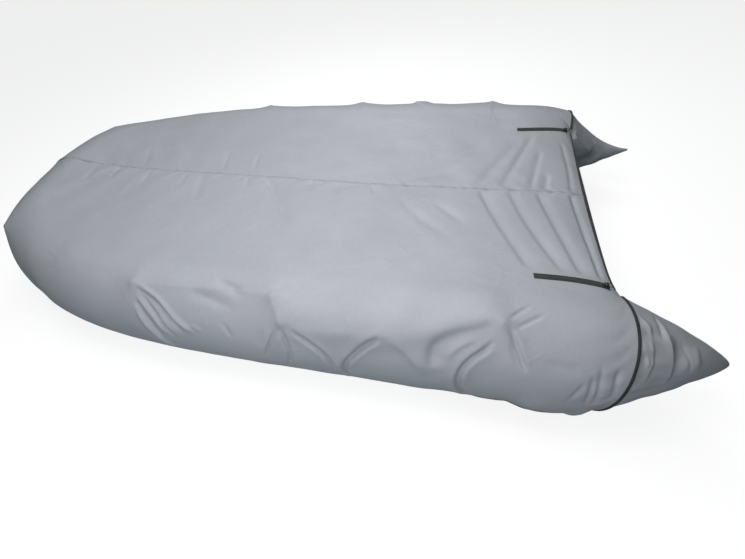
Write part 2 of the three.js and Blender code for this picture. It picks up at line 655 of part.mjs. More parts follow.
// Slider seen from its side: a low body with an arched bridge over the hole for the pull.
function sliderSolid(side) {
  const half = SLIDER_LENGTH / 2;
  const bridge = BRIDGE_LENGTH / 2;
  const top = SLIDER_HEIGHT + BRIDGE_HEIGHT;
  const shoulder = SLIDER_HEIGHT - SLIDER_BEVEL_DROP;
  const rightHalf = [
    [half, 0], [half, shoulder], [half - SLIDER_BEVEL, SLIDER_HEIGHT], [bridge, SLIDER_HEIGHT],
    [bridge - BRIDGE_BEVEL, top - BRIDGE_BEVEL], [bridge - 2 * BRIDGE_BEVEL, top],
  ];
  const leftHalf = [...rightHalf].reverse().map(([x, y]) => [-x, y]);
  const outline = new THREE.Shape(
    [...rightHalf, ...leftHalf].map(([x, y]) => new THREE.Vector2(x, y)));
  const left = -BRIDGE_HOLE / 2;
  const right = left + BRIDGE_SLOT;
  const low = PULL_HEIGHT - BRIDGE_HOLE / 2;
  const high = PULL_HEIGHT + BRIDGE_HOLE / 2;
  outline.holes.push(new THREE.Path([
    [left, low], [right, low], [right, high], [left, high],
  ].map(([x, y]) => new THREE.Vector2(x, y))));
  const geometry = new THREE.ExtrudeGeometry(outline, { depth: SLIDER_WIDTH, bevelEnabled: false });
  geometry.translate(0, 0, -SLIDER_WIDTH / 2);
  return solidOf(geometry, sliderFrame(side));
}

// Wire ring through the bridge, tipped aft so that it all but rests on the cloth.
function pullSolid(side) {
  const geometry = new THREE.TorusGeometry(PULL_RADIUS, PULL_WIRE, PULL_SIDES, PULL_STEPS);
  geometry.rotateX(Math.PI / 2);
  geometry.translate(PULL_RADIUS, 0, 0);
  geometry.rotateZ(-PULL_TILT);
  geometry.translate(0, PULL_HEIGHT, 0);
  return solidOf(geometry, sliderFrame(side));
}

const MATERIALS = {
  cloth: { color: 0xa9acb3, roughness: 0.62, metalness: 0 },
  binding: { color: 0x1b1d20, roughness: 0.8, metalness: 0 },
  zip: { color: 0x3d4140, roughness: 0.7, metalness: 0 },
  slider: { color: 0x1d1f22, roughness: 0.4, metalness: 0.6 },
};

function meshOf(name, geometry, material) {
  const mesh = new THREE.Mesh(geometry, new THREE.MeshStandardMaterial(MATERIALS[material]));
  mesh.name = name;
  return mesh;
}

function buildCover() {
  const cover = new THREE.Group();
  const panels = {};
  for (const [name, side] of Object.entries(SIDES)) {
    panels[name] = panelGrid(side);
    const add = (piece, solid, material) => {
      cover.add(meshOf(`${piece}_${name}`, toGeometry(solid, name), material));
    };
    add('panel', sheetSolid(panels[name].grid, panels[name].normals, CLOTH), 'cloth');
    add('pocket', pocketSolid(side), 'cloth');
    add('ring_binding', ringBindingSolid(side), 'binding');
    add('hem_binding', hemBindingSolid(panels[name]), 'binding');
    add('zip', zipSolid(side), 'zip');
    add('zip_slider', sliderSolid(side), 'slider');
    add('zip_pull', pullSolid(side), 'slider');
  }
  const transom = transomBindingSolid(panels.port, panels.starboard);
  cover.add(meshOf('transom_binding', toGeometry(transom, 'starboard'), 'binding'));

  const top = lookUp(SEAM_HEIGHT, 'x', 'z', -MOUNT_BACK);
  cover.position.set(MOUNT_BACK, 0, MOUNT_DROP - top);
  return cover;
}

export default buildCover();
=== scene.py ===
"""Fitted cover for a small inflatable dinghy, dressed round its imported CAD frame.

Two half panels of coated cloth meet on a stitched centre seam. Each wraps down round a side tube to a
bound hem, a conical pocket goes over the end of each tube, and a zip runs forward from each stern
corner. Shapes are worked out in metres in boat coordinates (x = 0 at the stern seam, the bow at -x, and
z = 0 at the foot of the tubes) and then moved to the frame, whose origin is the mount under the top.
"""

from __future__ import annotations
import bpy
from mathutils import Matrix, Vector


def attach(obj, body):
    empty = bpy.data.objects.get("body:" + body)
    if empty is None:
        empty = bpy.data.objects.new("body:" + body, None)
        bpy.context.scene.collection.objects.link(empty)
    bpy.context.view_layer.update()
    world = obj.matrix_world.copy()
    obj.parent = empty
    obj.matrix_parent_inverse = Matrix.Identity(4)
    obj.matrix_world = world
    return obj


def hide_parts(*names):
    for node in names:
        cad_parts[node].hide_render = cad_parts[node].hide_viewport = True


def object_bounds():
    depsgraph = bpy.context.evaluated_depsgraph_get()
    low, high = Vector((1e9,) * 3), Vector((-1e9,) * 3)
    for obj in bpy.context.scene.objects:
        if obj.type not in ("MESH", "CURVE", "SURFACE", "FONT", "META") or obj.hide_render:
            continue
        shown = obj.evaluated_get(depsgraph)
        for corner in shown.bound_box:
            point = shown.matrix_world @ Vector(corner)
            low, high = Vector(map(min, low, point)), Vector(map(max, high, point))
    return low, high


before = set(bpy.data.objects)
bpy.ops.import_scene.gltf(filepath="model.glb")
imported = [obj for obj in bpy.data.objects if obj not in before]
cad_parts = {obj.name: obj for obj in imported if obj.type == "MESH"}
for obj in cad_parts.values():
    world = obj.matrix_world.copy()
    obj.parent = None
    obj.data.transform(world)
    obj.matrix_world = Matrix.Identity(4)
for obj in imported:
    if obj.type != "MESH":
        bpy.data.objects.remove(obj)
CAD_BOX = [list(corner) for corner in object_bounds()]

import logging
from dataclasses import dataclass, field
from enum import Enum

import bmesh
import bpy
import numpy as np
from mathutils import Matrix, Vector

Array = np.ndarray
Table = tuple[tuple[float, float], ...]
Colour = tuple[float, float, float]
Point = tuple[float, float, float]
Piece = bpy.types.Object
Socket = bpy.types.NodeSocket

UP = np.array([0.0, 0.0, 1.0])
log = logging.getLogger("dinghy_cover")


class Side(Enum):
    """Which half of the cover: the value is the sign of its y."""

    PORT = -1
    STARBOARD = 1

    @property
    def label(self) -> str:
        """The side's name as it stands in the names of the pieces."""
        return self.name.lower()

    @property
    def mirror(self) -> Array:
        """Factors that take a point or direction from the starboard half to this one."""
        return np.array([1.0, self.value, 1.0])


class FoldShape(Enum):
    """Cross-section of a fold, as height over distance from its line."""

    SOFT = "soft"  # a round swelling: exp(-(d/w)^2)
    CREASE = "crease"  # a sharp crest with hollow flanks: exp(-|d|/w)
    PINCH = "pinch"  # a narrow furrow between two soft lips: 0.6 exp(-(d/w)^2) - 1.5 exp(-(3d/w)^2)


class Finish(Enum):
    """What a piece is finished with."""

    CLOTH = "coated cloth"
    BINDING = "black tape"
    ZIP_TAPE = "zip tape"
    TEETH = "zip teeth"
    # the centre seam's real thread, darkened so that it also paints the shade in the seam's gap
    GREY_THREAD = "grey thread"
    BLACK_THREAD = "black thread"
    SLIDER = "enamelled metal"


Dressed = list[tuple[Piece, Finish]]


# ---- Helpers for curves and grids ---------------------------------------------------------------


def table_curve(table: Table, at: Array) -> Array:
    """Smooth curve through the rows of a table.

    Between two rows it is a cubic: the eased rise 3t^2 - 2t^3 of the value, plus t(1 - t)^2 of the
    slope at the first row and t^2(t - 1) of the slope at the second. A row's slope is that of the line
    from the row before it to the row after it.

    Args:
        table: rows of place and value, in order of place.
        at: places to read the curve at.

    Returns:
        The values, in the shape of ``at``.
    """
    place, value = np.asarray(table, float).T
    last = len(place) - 1
    low = np.maximum(np.arange(last + 1) - 1, 0)
    high = np.minimum(np.arange(last + 1) + 1, last)
    slope = (value[high] - value[low]) / (place[high] - place[low])
    inside = np.clip(at, place[0], place[-1])
    i = np.clip(np.searchsorted(place, inside, side="right") - 1, 0, last - 1)
    span = place[i + 1] - place[i]
    t = (inside - place[i]) / span
    rise = (value[i + 1] - value[i]) * t * t * (3 - 2 * t)
    return value[i] + rise + span * (t * (1 - t) ** 2 * slope[i] + t * t * (t - 1) * slope[i + 1])


def smooth_step(value: Array, low: float, high: float) -> Array:
    """0 below ``low`` and 1 above ``high``, eased between them as 3t^2 - 2t^3."""
    t = np.clip((value - low) / (high - low), 0, 1)
    return t * t * (3 - 2 * t)


def unit(vectors: Array) -> Array:
    """The vectors along the last axis, each scaled to length one."""
    return vectors / np.maximum(np.linalg.norm(vectors, axis=-1, keepdims=True), 1e-12)


def grid_normals(grid: Array, reference: Array) -> Array:
    """Normals of a grid of points, turned to the side that ``reference`` points to at each.

    Each is the cross product of the differences to the neighbours along the rows and the columns.
    """
    normals = unit(np.cross(np.gradient(grid, axis=0), np.gradient(grid, axis=1)))
    turned = np.sign(np.sum(normals * reference, axis=-1, keepdims=True))
    return normals * np.where(turned == 0, 1, turned)


def rounded_line(points: Table, rounds: int = 2) -> Array:
    """A line of points with its corners cut, ``rounds`` times, by new points a quarter of the way in
    from each end of every run."""
    line = np.asarray(points, float)
    for _ in range(rounds if len(line) > 2 else 0):
        before, after = line[:-1], line[1:]
        cut = np.stack([0.75 * before + 0.25 * after, 0.25 * before + 0.75 * after], axis=1)
        line = np.concatenate([line[:1], cut.reshape(-1, line.shape[1]), line[-1:]])
    return line


def distance_to_line(points: Array, line: Array) -> tuple[Array, Array, Array]:
    """Distance of each point from a line of points, and how far along the line its foot lies.

    Args:
        points: array (..., 2).
        line: array (n, 2).

    Returns:
        The distances, the share from 0 to 1 of the line's length at the nearest point, and the sine
        of the angle from the line to the point: 1 on its left, -1 on its right.
    """
    starts, runs = line[:-1], np.diff(line, axis=0)
    lengths = np.linalg.norm(runs, axis=1)
    before = np.concatenate([[0.0], np.cumsum(lengths)])
    nearest = np.full(points.shape[:-1], np.inf)
    share = np.zeros(points.shape[:-1])
    aside = np.zeros(points.shape[:-1])
    for start, run, length, passed in zip(starts, runs, lengths, before):
        t = np.clip(((points - start) @ run) / max(length * length, 1e-12), 0, 1)
        offset = points - start - t[..., None] * run
        gap = np.linalg.norm(offset, axis=-1)
        closer = gap < nearest
        nearest = np.where(closer, gap, nearest)
        share = np.where(closer, (passed + t * length) / max(before[-1], 1e-9), share)
        sine = (run[0] * offset[..., 1] - run[1] * offset[..., 0]) / np.maximum(length * gap, 1e-12)
        aside = np.where(closer, sine, aside)
    return nearest, share, aside


def ripple(u: Array, v: Array, pitch: float, seed: int, waves: int = 18, stretch: float = 1.0) -> Array:
    """Smooth irregular undulation about zero, mostly between -1 and 1.

    It is the sum of ``waves`` sine waves with random directions and starts and lengths from 0.6 to
    1.7 of ``pitch``, divided by the root of half their number.

    Args:
        u: first coordinate over the sheet.
        v: second coordinate over the sheet.
        pitch: middle wavelength in metres.
        seed: number that fixes the random draws.
        waves: how many sine waves are added.
        stretch: how many times longer the waves are along u.

    Returns:
        The undulation at each place.
    """
    draw = np.random.default_rng(seed)
    turn = draw.uniform(0, 2 * np.pi, waves)
    start = draw.uniform(0, 2 * np.pi, waves)
    number = 2 * np.pi / (pitch * draw.uniform(0.6, 1.7, waves))
    total = np.zeros(np.broadcast(u, v).shape)
    for angle, phase, k in zip(turn, start, number):
        total += np.sin(k * (np.cos(angle) * u / stretch + np.sin(angle) * v) + phase)
    return total / np.sqrt(waves / 2)


# ---- The boat's shape under the cloth -----------------------------------------------------------


@dataclass(frozen=True)
class Tube:
    """The covered tube at some distances along it: centres, radii and level directions outboard."""

    centre: Array
    radius: Array
    out: Array

    def point(self, angle: Array) -> Array:
        """Points round the tube: centre + radius (sin angle out + cos angle up)."""
        radius, sine, cosine = (np.expand_dims(v, -1) for v in (self.radius, np.sin(angle), np.cos(angle)))
        return self.centre + radius * (sine * self.out + cosine * UP)


@dataclass
class BoatForm:
    """What the cloth lies over: the tubes' course in plan, their thickness, and the centre seam."""

    tube_radius: float = 0.205
    tube_offset: float = 0.6245
    straight_run: float = 0.932
    bow_run: float = 1.506
    bow_exponent: float = 3.18
    nose_radius: float = 0.215
    nose_lift: float = 0.038
    lift_start: float = 2.110
    lift_power: float = 1.8
    fan_end: float = 0.260
    fan_slope: float = 0.175
    run_step: float = 0.020
    sweep_steps: int = 4001
    stern_drop: float = 0.0045
    taper_run: float = 0.190
    sag_shape: float = 1.7
    seam_height: Table = (
        (-2.445, 0.441), (-2.372, 0.434), (-2.160, 0.418), (-1.982, 0.406), (-1.442, 0.389),
        (-0.832, 0.367), (-0.322, 0.364), (-0.112, 0.363), (-0.058, 0.358), (0.000, 0.342),
    )
    mount_back: float = 1.226
    mount_drop: float = 0.006
    length: float = field(init=False)

    def __post_init__(self) -> None:
        """Works out the plan course once: a straight run, then a superellipse to the nose.

        On the bow curve, at a sweep s, the reach from its centre is
        ((sin s / bow_run)^e + (cos s / offset)^e)^(-1/e), so it leaves the straight run smoothly.
        """
        sweep = np.linspace(0, np.pi / 2, self.sweep_steps)
        e = self.bow_exponent
        reach = ((np.sin(sweep) / self.bow_run) ** e + (np.cos(sweep) / self.tube_offset) ** e) ** (-1 / e)
        self._x = np.concatenate([[0.0], -self.straight_run - reach * np.sin(sweep)])
        self._y = np.concatenate([[self.tube_offset], reach * np.cos(sweep)])
        steps = np.hypot(np.diff(self._x), np.diff(self._y))
        self._run = np.concatenate([[0.0], np.cumsum(steps)])
        self.length = float(self._run[-1])

    @property
    def origin(self) -> Array:
        """The frame's origin in boat coordinates: the mount, just under the top of the sheet."""
        top = float(table_curve(self.seam_height, np.array(-self.mount_back)))
        return np.array([-self.mount_back, 0.0, top - self.mount_drop])

    def plan(self, along: Array) -> Array:
        """Plan points (x, y) of the tube's middle line. Past the nose the course goes on, mirrored."""
        over = np.maximum(along - self.length, 0)
        inside = np.clip(along, 0, self.length) - over
        y = np.interp(inside, self._run, self._y) * np.where(over > 0, -1, 1)
        return np.stack([np.interp(inside, self._run, self._x), y], axis=-1)

    def tube(self, along: Array, stern_taper: float) -> Tube:
        """The starboard tube at distances along it. It rises and thickens towards the nose and grows
        slimmer by ``stern_taper`` at the stern seam, both with a power of the distance."""
        plan = self.plan(along)
        run = unit(self.plan(along + self.run_step) - self.plan(np.maximum(along - self.run_step, 0)))
        end = self.straight_run + self.bow_run
        rise = np.clip((-plan[..., 0] - self.lift_start) / (end - self.lift_start), 0, 1)
        taper = np.maximum(1 - along / self.taper_run, 0) ** 2
        height = self.tube_radius + self.nose_lift * rise**self.lift_power - self.stern_drop * taper
        radius = self.tube_radius + (self.nose_radius - self.tube_radius) * rise**2 - stern_taper * taper
        out = np.stack([run[..., 1], -run[..., 0], np.zeros_like(height)], axis=-1)
        return Tube(np.concatenate([plan, height[..., None]], axis=-1), radius, out)

    def seam_x(self, along: Array) -> Array:
        """Where a section meets the centre seam: level with the tube along the straight run, then
        fanned round the bow by a cubic that ends ``fan_end`` aft of the nose."""
        span = self.length - self.straight_run
        t = np.clip((along - self.straight_run) / span, 0, 1)
        end = -(self.straight_run + self.bow_run - self.fan_end)
        ease, leave = t * t * (3 - 2 * t), t * (1 - t) ** 2 * span
        arrive = t * t * (t - 1) * span * self.fan_slope
        fanned = -self.straight_run + (end + self.straight_run) * ease - leave - arrive
        return np.where(along <= self.straight_run, -along, fanned)

    def to_frame(self, points: Array, side: Side) -> Array:
        """Points worked out to starboard in boat coordinates, put on their side of the frame."""
        return points * side.mirror - self.origin


FADE_START = -0.02  # the share at which a fold's height starts from nothing, so its very end shows


@dataclass(frozen=True)
class Fold:
    """A fold of the sheet along a route of (distance along the tube, girth from the crown line).

    Height is out of the sheet and negative is a furrow. The height tapers to nothing over the
    share ``fade`` of the route at each of its ends, and a single point makes a round swelling.
    The fold is ``lean`` times as wide on the left of its route as on the right, where ``width`` is the
    w of its shape's formula.
    """

    height: float
    width: float
    route: Table
    shape: FoldShape = FoldShape.SOFT
    fade: float = 0.25
    lean: float = 1.0

    def relief(self, places: Array) -> Array:
        """Height of the fold at places (..., 2) of the sheet, by the formula of its shape."""
        if len(self.route) == 1:
            distance = np.linalg.norm(places - np.array(self.route[0]), axis=-1)
            end, aside = 1.0, -1.0
        else:
            distance, share, aside = distance_to_line(places, rounded_line(self.route))
            end = smooth_step(np.minimum(share, 1 - share), FADE_START, self.fade)
        d = distance / (self.width * (1 + (self.lean - 1) * (1 + aside) / 2))
        if self.shape is FoldShape.CREASE:
            return self.height * end * np.exp(-d)
        if self.shape is FoldShape.PINCH:
            return self.height * end * (0.6 * np.exp(-d * d) - 1.5 * np.exp(-9 * d * d))
        return self.height * end * np.exp(-d * d)


# ---- Meshes and pieces --------------------------------------------------------------------------


def new_mesh_object(name: str, points: Array, faces: list[Array], uv: Array | None = None) -> Piece:
    """Puts whole arrays of points and faces into a new mesh object at the origin.

    Args:
        name: the piece's name.
        points: array (n, 3) in the frame.
        faces: arrays (m, k) of point numbers, one array for each face size k.
        uv: array (n, 2), one place on the cloth in metres for each point.

    Returns:
        The object, linked to the scene, shaded smooth.
    """
    mesh = bpy.data.meshes.new(name)
    corners = np.concatenate([part.reshape(-1) for part in faces]).astype(np.int32)
    sizes = np.concatenate([np.full(len(part), part.shape[1]) for part in faces])
    starts = np.concatenate([[0], np.cumsum(sizes)[:-1]])
    mesh.vertices.add(len(points))
    mesh.vertices.foreach_set("co", np.asarray(points, np.float32).reshape(-1))
    mesh.loops.add(len(corners))
    mesh.loops.foreach_set("vertex_index", corners)
    mesh.polygons.add(len(sizes))
    mesh.polygons.foreach_set("loop_start", starts.astype(np.int32))
    mesh.update(calc_edges=True)
    mesh.polygons.foreach_set("use_smooth", np.ones(len(sizes), bool))
    if uv is not None:
        layer = mesh.uv_layers.new(name="cloth")
        layer.data.foreach_set("uv", np.asarray(uv, np.float32)[corners].reshape(-1))
    mesh.validate()
    made = bpy.data.objects.new(name, mesh)
    bpy.context.scene.collection.objects.link(made)
    return made


def grid_faces(rows: int, columns: int, closed: bool = False, first: int = 0) -> Array:
    """Four-cornered faces between the points of a grid stored row by row.

    Args:
        rows: rows of points.
        columns: points in a row.
        closed: whether each row's last point joins its first.
        first: number of the grid's first point.

    Returns:
        Point numbers (m, 4).
    """
    i, j = np.meshgrid(np.arange(rows - 1), np.arange(columns if closed else columns - 1), indexing="ij")
    right = (j + 1) % columns
    quads = [i * columns + j, (i + 1) * columns + j, (i + 1) * columns + right, i * columns + right]
    return first + np.stack(quads, axis=-1).reshape(-1, 4)


def grid_rim(rows: int, columns: int, first: int = 0) -> Array:
    """Numbers of the points round the edge of a grid, in order and closed on the first.

    Args:
        rows: rows of points.
        columns: points in a row.
        first: number of the grid's first point.

    Returns:
        Point numbers (k,).
    """
    numbers = first + np.arange(rows * columns).reshape(rows, columns)
    sides = [numbers[0, :-1], numbers[:-1, -1], numbers[-1, :0:-1], numbers[:0:-1, 0], numbers[0, :1]]
    return np.concatenate(sides)


def lowest_near(height: Array) -> Array:
    """The lowest of each height of a grid and the eight round it."""
    rows, columns = height.shape
    padded = np.pad(height, 1, mode="edge")
    near = [padded[i : i + rows, j : j + columns] for i in range(3) for j in range(3)]
    return np.min(near, axis=0)


def cloth_shell(name: str, outer: Array, inner: Array, uv: Array) -> Piece:
    """A sheet of cloth with both its faces and its edge, as one closed mesh.

    Args:
        name: the piece's name.
        outer: grid of points (n, m, 3), with n and m odd.
        inner: every second point of the sheet's other face.
        uv: places on the cloth (n, m, 2).

    Returns:
        The sheet. Each face of its edge has three outer points and two inner ones.
    """
    rows, columns = outer.shape[:2]
    count = rows * columns
    near, far = grid_rim(rows, columns), grid_rim(*inner.shape[:2], first=count)
    rim = np.stack([near[:-1:2], near[1::2], near[2::2], far[1:], far[:-1]], axis=-1)
    faces = [grid_faces(rows, columns), grid_faces(*inner.shape[:2], first=count)[:, ::-1], rim[:, ::-1]]
    points = np.concatenate([outer.reshape(-1, 3), inner.reshape(-1, 3)])
    places = np.concatenate([uv.reshape(-1, 2), uv[::2, ::2].reshape(-1, 2)])
    sheet = new_mesh_object(name, points, faces, places)
    face_outwards(sheet)
    return sheet


def swept(profile: Array, centres: Array, across: Array, up: Array) -> Array:
    """A profile carried along a path: centre + u * across + v * up at each station.

    Args:
        profile: array (k, 2) of u and v.
        centres: path points (n, 3).
        across: unit vectors (n, 3) that u runs along.
        up: unit vectors (n, 3) that v runs along.

    Returns:
        Points (n, k, 3).
    """
    u, v = profile[:, 0][None, :, None], profile[:, 1][None, :, None]
    return centres[:, None] + u * across[:, None] + v * up[:, None]


def swept_bar(name: str, rings: Array) -> Piece:
    """A closed bar from its rings of points (n, k, 3), with its two end faces.

    Its UV runs along the bar in metres and round it by the length of the first ring.
    """
    n, k = rings.shape[:2]
    middle = rings.mean(axis=1)
    along = np.concatenate([[0], np.cumsum(np.linalg.norm(np.diff(middle, axis=0), axis=1))])
    round_run = np.linalg.norm(rings[0] - np.roll(rings[0], 1, axis=0), axis=1).cumsum()
    uv = np.stack(np.broadcast_arrays(along[:, None], round_run[None, :]), axis=-1).reshape(-1, 2)
    caps = [np.arange(k)[None, :], ((n - 1) * k + np.arange(k)[::-1])[None, :]]
    bar = new_mesh_object(name, rings.reshape(-1, 3), [grid_faces(n, k, closed=True), *caps], uv)
    face_outwards(bar)
    return bar


def face_outwards(piece: Piece) -> None:
    """Turns the faces of a closed mesh to point out of it, from its signed volume."""
    shape = bmesh.new()
    shape.from_mesh(piece.data)
    bmesh.ops.recalc_face_normals(shape, faces=shape.faces)
    if shape.calc_volume(signed=True) < 0:
        bmesh.ops.reverse_faces(shape, faces=shape.faces)
    shape.to_mesh(piece.data)
    shape.free()


def place(piece: Piece, slot: str, replaced: tuple[str, ...] = ()) -> Piece:
    """Lets a finished piece ride on the cover and stand for CAD nodes."""
    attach(piece, "root")
    if replaced:
        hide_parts(*replaced)
    log.info("%s: %d points", piece.name, len(piece.data.vertices))
    return piece


# ---- The sheet of one half ----------------------------------------------------------------------


@dataclass
class HalfSheet:
    """The surface of one half panel, as a function of the distance along the tube and the place
    across it: 0 at the centre seam, 1 on the crown line of the tube, 2 at the hem."""

    side: Side
    boat: BoatForm
    stern_taper: float
    corner_angle: float
    corner_forward: float
    hem: Table
    folds: tuple[Fold, ...]
    transom_forward: float = 0.003
    corner_run: float = 0.090
    corner_power: float = 12.0
    mouth_forward: float = 0.020
    mouth_rake: float = 0.183
    mouth_slew: float = 0.061
    mouth_run: float = 0.320
    seed: int = 1

    def mouth_x(self, angle: Array) -> Array:
        """How far aft the pocket's mouth lies at an angle from its top: the mouth leans, by the
        radius times (rake cos angle + slew sin angle), about a middle forward of the transom."""
        radius = self.boat.tube_radius - self.stern_taper
        lean = self.mouth_rake * np.cos(angle) + self.mouth_slew * np.sin(angle)
        return radius * lean - self.mouth_forward

    def smooth(self, along: Array, across: Array) -> tuple[Array, Array]:
        """The taut sheet, before its folds.

        Up to the crown line it is the straight line from the seam with a sag of
        drop (shape - 1)(a^2 - a); beyond, it goes round the tube to the hem. Close to the stern the
        sections lean with the pocket's mouth.

        Args:
            along: distances along the tube, (n, 1).
            across: places across the half, (1, m) or (n, m).

        Returns:
            Points (n, m, 3) in boat coordinates to starboard, and the girth (n, m) from the crown
            line, outwards positive.
        """
        line = along[:, 0]
        tube = self.boat.tube(line, self.stern_taper)
        x = self.boat.seam_x(line)
        seam = np.stack([x, np.zeros_like(x), table_curve(self.boat.seam_height, x)], axis=-1)
        reach = np.hypot(tube.centre[:, 0] - x, tube.centre[:, 1])
        fall = tube.centre[:, 2] + tube.radius - seam[:, 2]
        free = -np.arctan(self.boat.sag_shape * fall / reach)
        settle = np.maximum(1 - line / self.corner_run, 0) ** 2
        crown = free + (np.radians(self.corner_angle) - free) * settle
        tube = Tube(tube.centre[:, None], tube.radius[:, None], tube.out[:, None])
        crown_point = tube.point(crown[:, None])[:, 0]
        skew = np.maximum(1 - along / self.mouth_run, 0) ** 2
        a = np.clip(across, 0, 1)
        top = seam[:, None] + (crown_point - seam)[:, None] * a[..., None]
        sag = (crown_point - seam)[:, 2][:, None] * (self.boat.sag_shape - 1) * (a * a - a)
        edge = -self.transom_forward - (self.corner_forward - self.transom_forward) * a
        corner = a**self.corner_power
        top[..., 0] += skew * (edge * (1 - corner) + self.mouth_x(crown[:, None]) * corner)
        top[..., 2] += sag
        hem = np.radians(table_curve(self.hem, line))
        angle = crown[:, None] + np.clip(across - 1, 0, None) * (hem - crown)[:, None]
        wrap = tube.point(angle)
        wrap[..., 0] += skew * self.mouth_x(angle)
        wide = np.linalg.norm(crown_point - seam, axis=-1)[:, None]
        girth = np.where(across <= 1, -(1 - a) * wide, (angle - crown[:, None]) * tube.radius)
        return np.where((across <= 1)[..., None], top, wrap), girth


@dataclass
class ZipCourse:
    """Where a zip runs on the top: its distance from the centre line, and its ends along the tube."""

    front_offset: float
    stern_offset: float
    start: float = 0.026
    end: float = 0.246

    def offset(self, along: Array) -> Array:
        """Distance of the zip's middle from the centre line. It bends outwards with the square of
        the nearness to the corner."""
        nearness = np.maximum(1 - along / self.end, 0)
        return self.front_offset + (self.stern_offset - self.front_offset) * nearness**2


def line_lengths(grid: Array, axis: int) -> Array:
    """Lengths of a grid's lines along one of its axes."""
    return np.linalg.norm(np.diff(grid, axis=axis), axis=-1).sum(axis=axis)


def sheet_area(grid: Array) -> float:
    """Area of a grid of points, as the sum of its cells' cross products of rows and columns."""
    down, over = np.diff(grid, axis=0)[:, :-1], np.diff(grid, axis=1)[:-1]
    return float(np.linalg.norm(np.cross(down, over), axis=-1).sum())


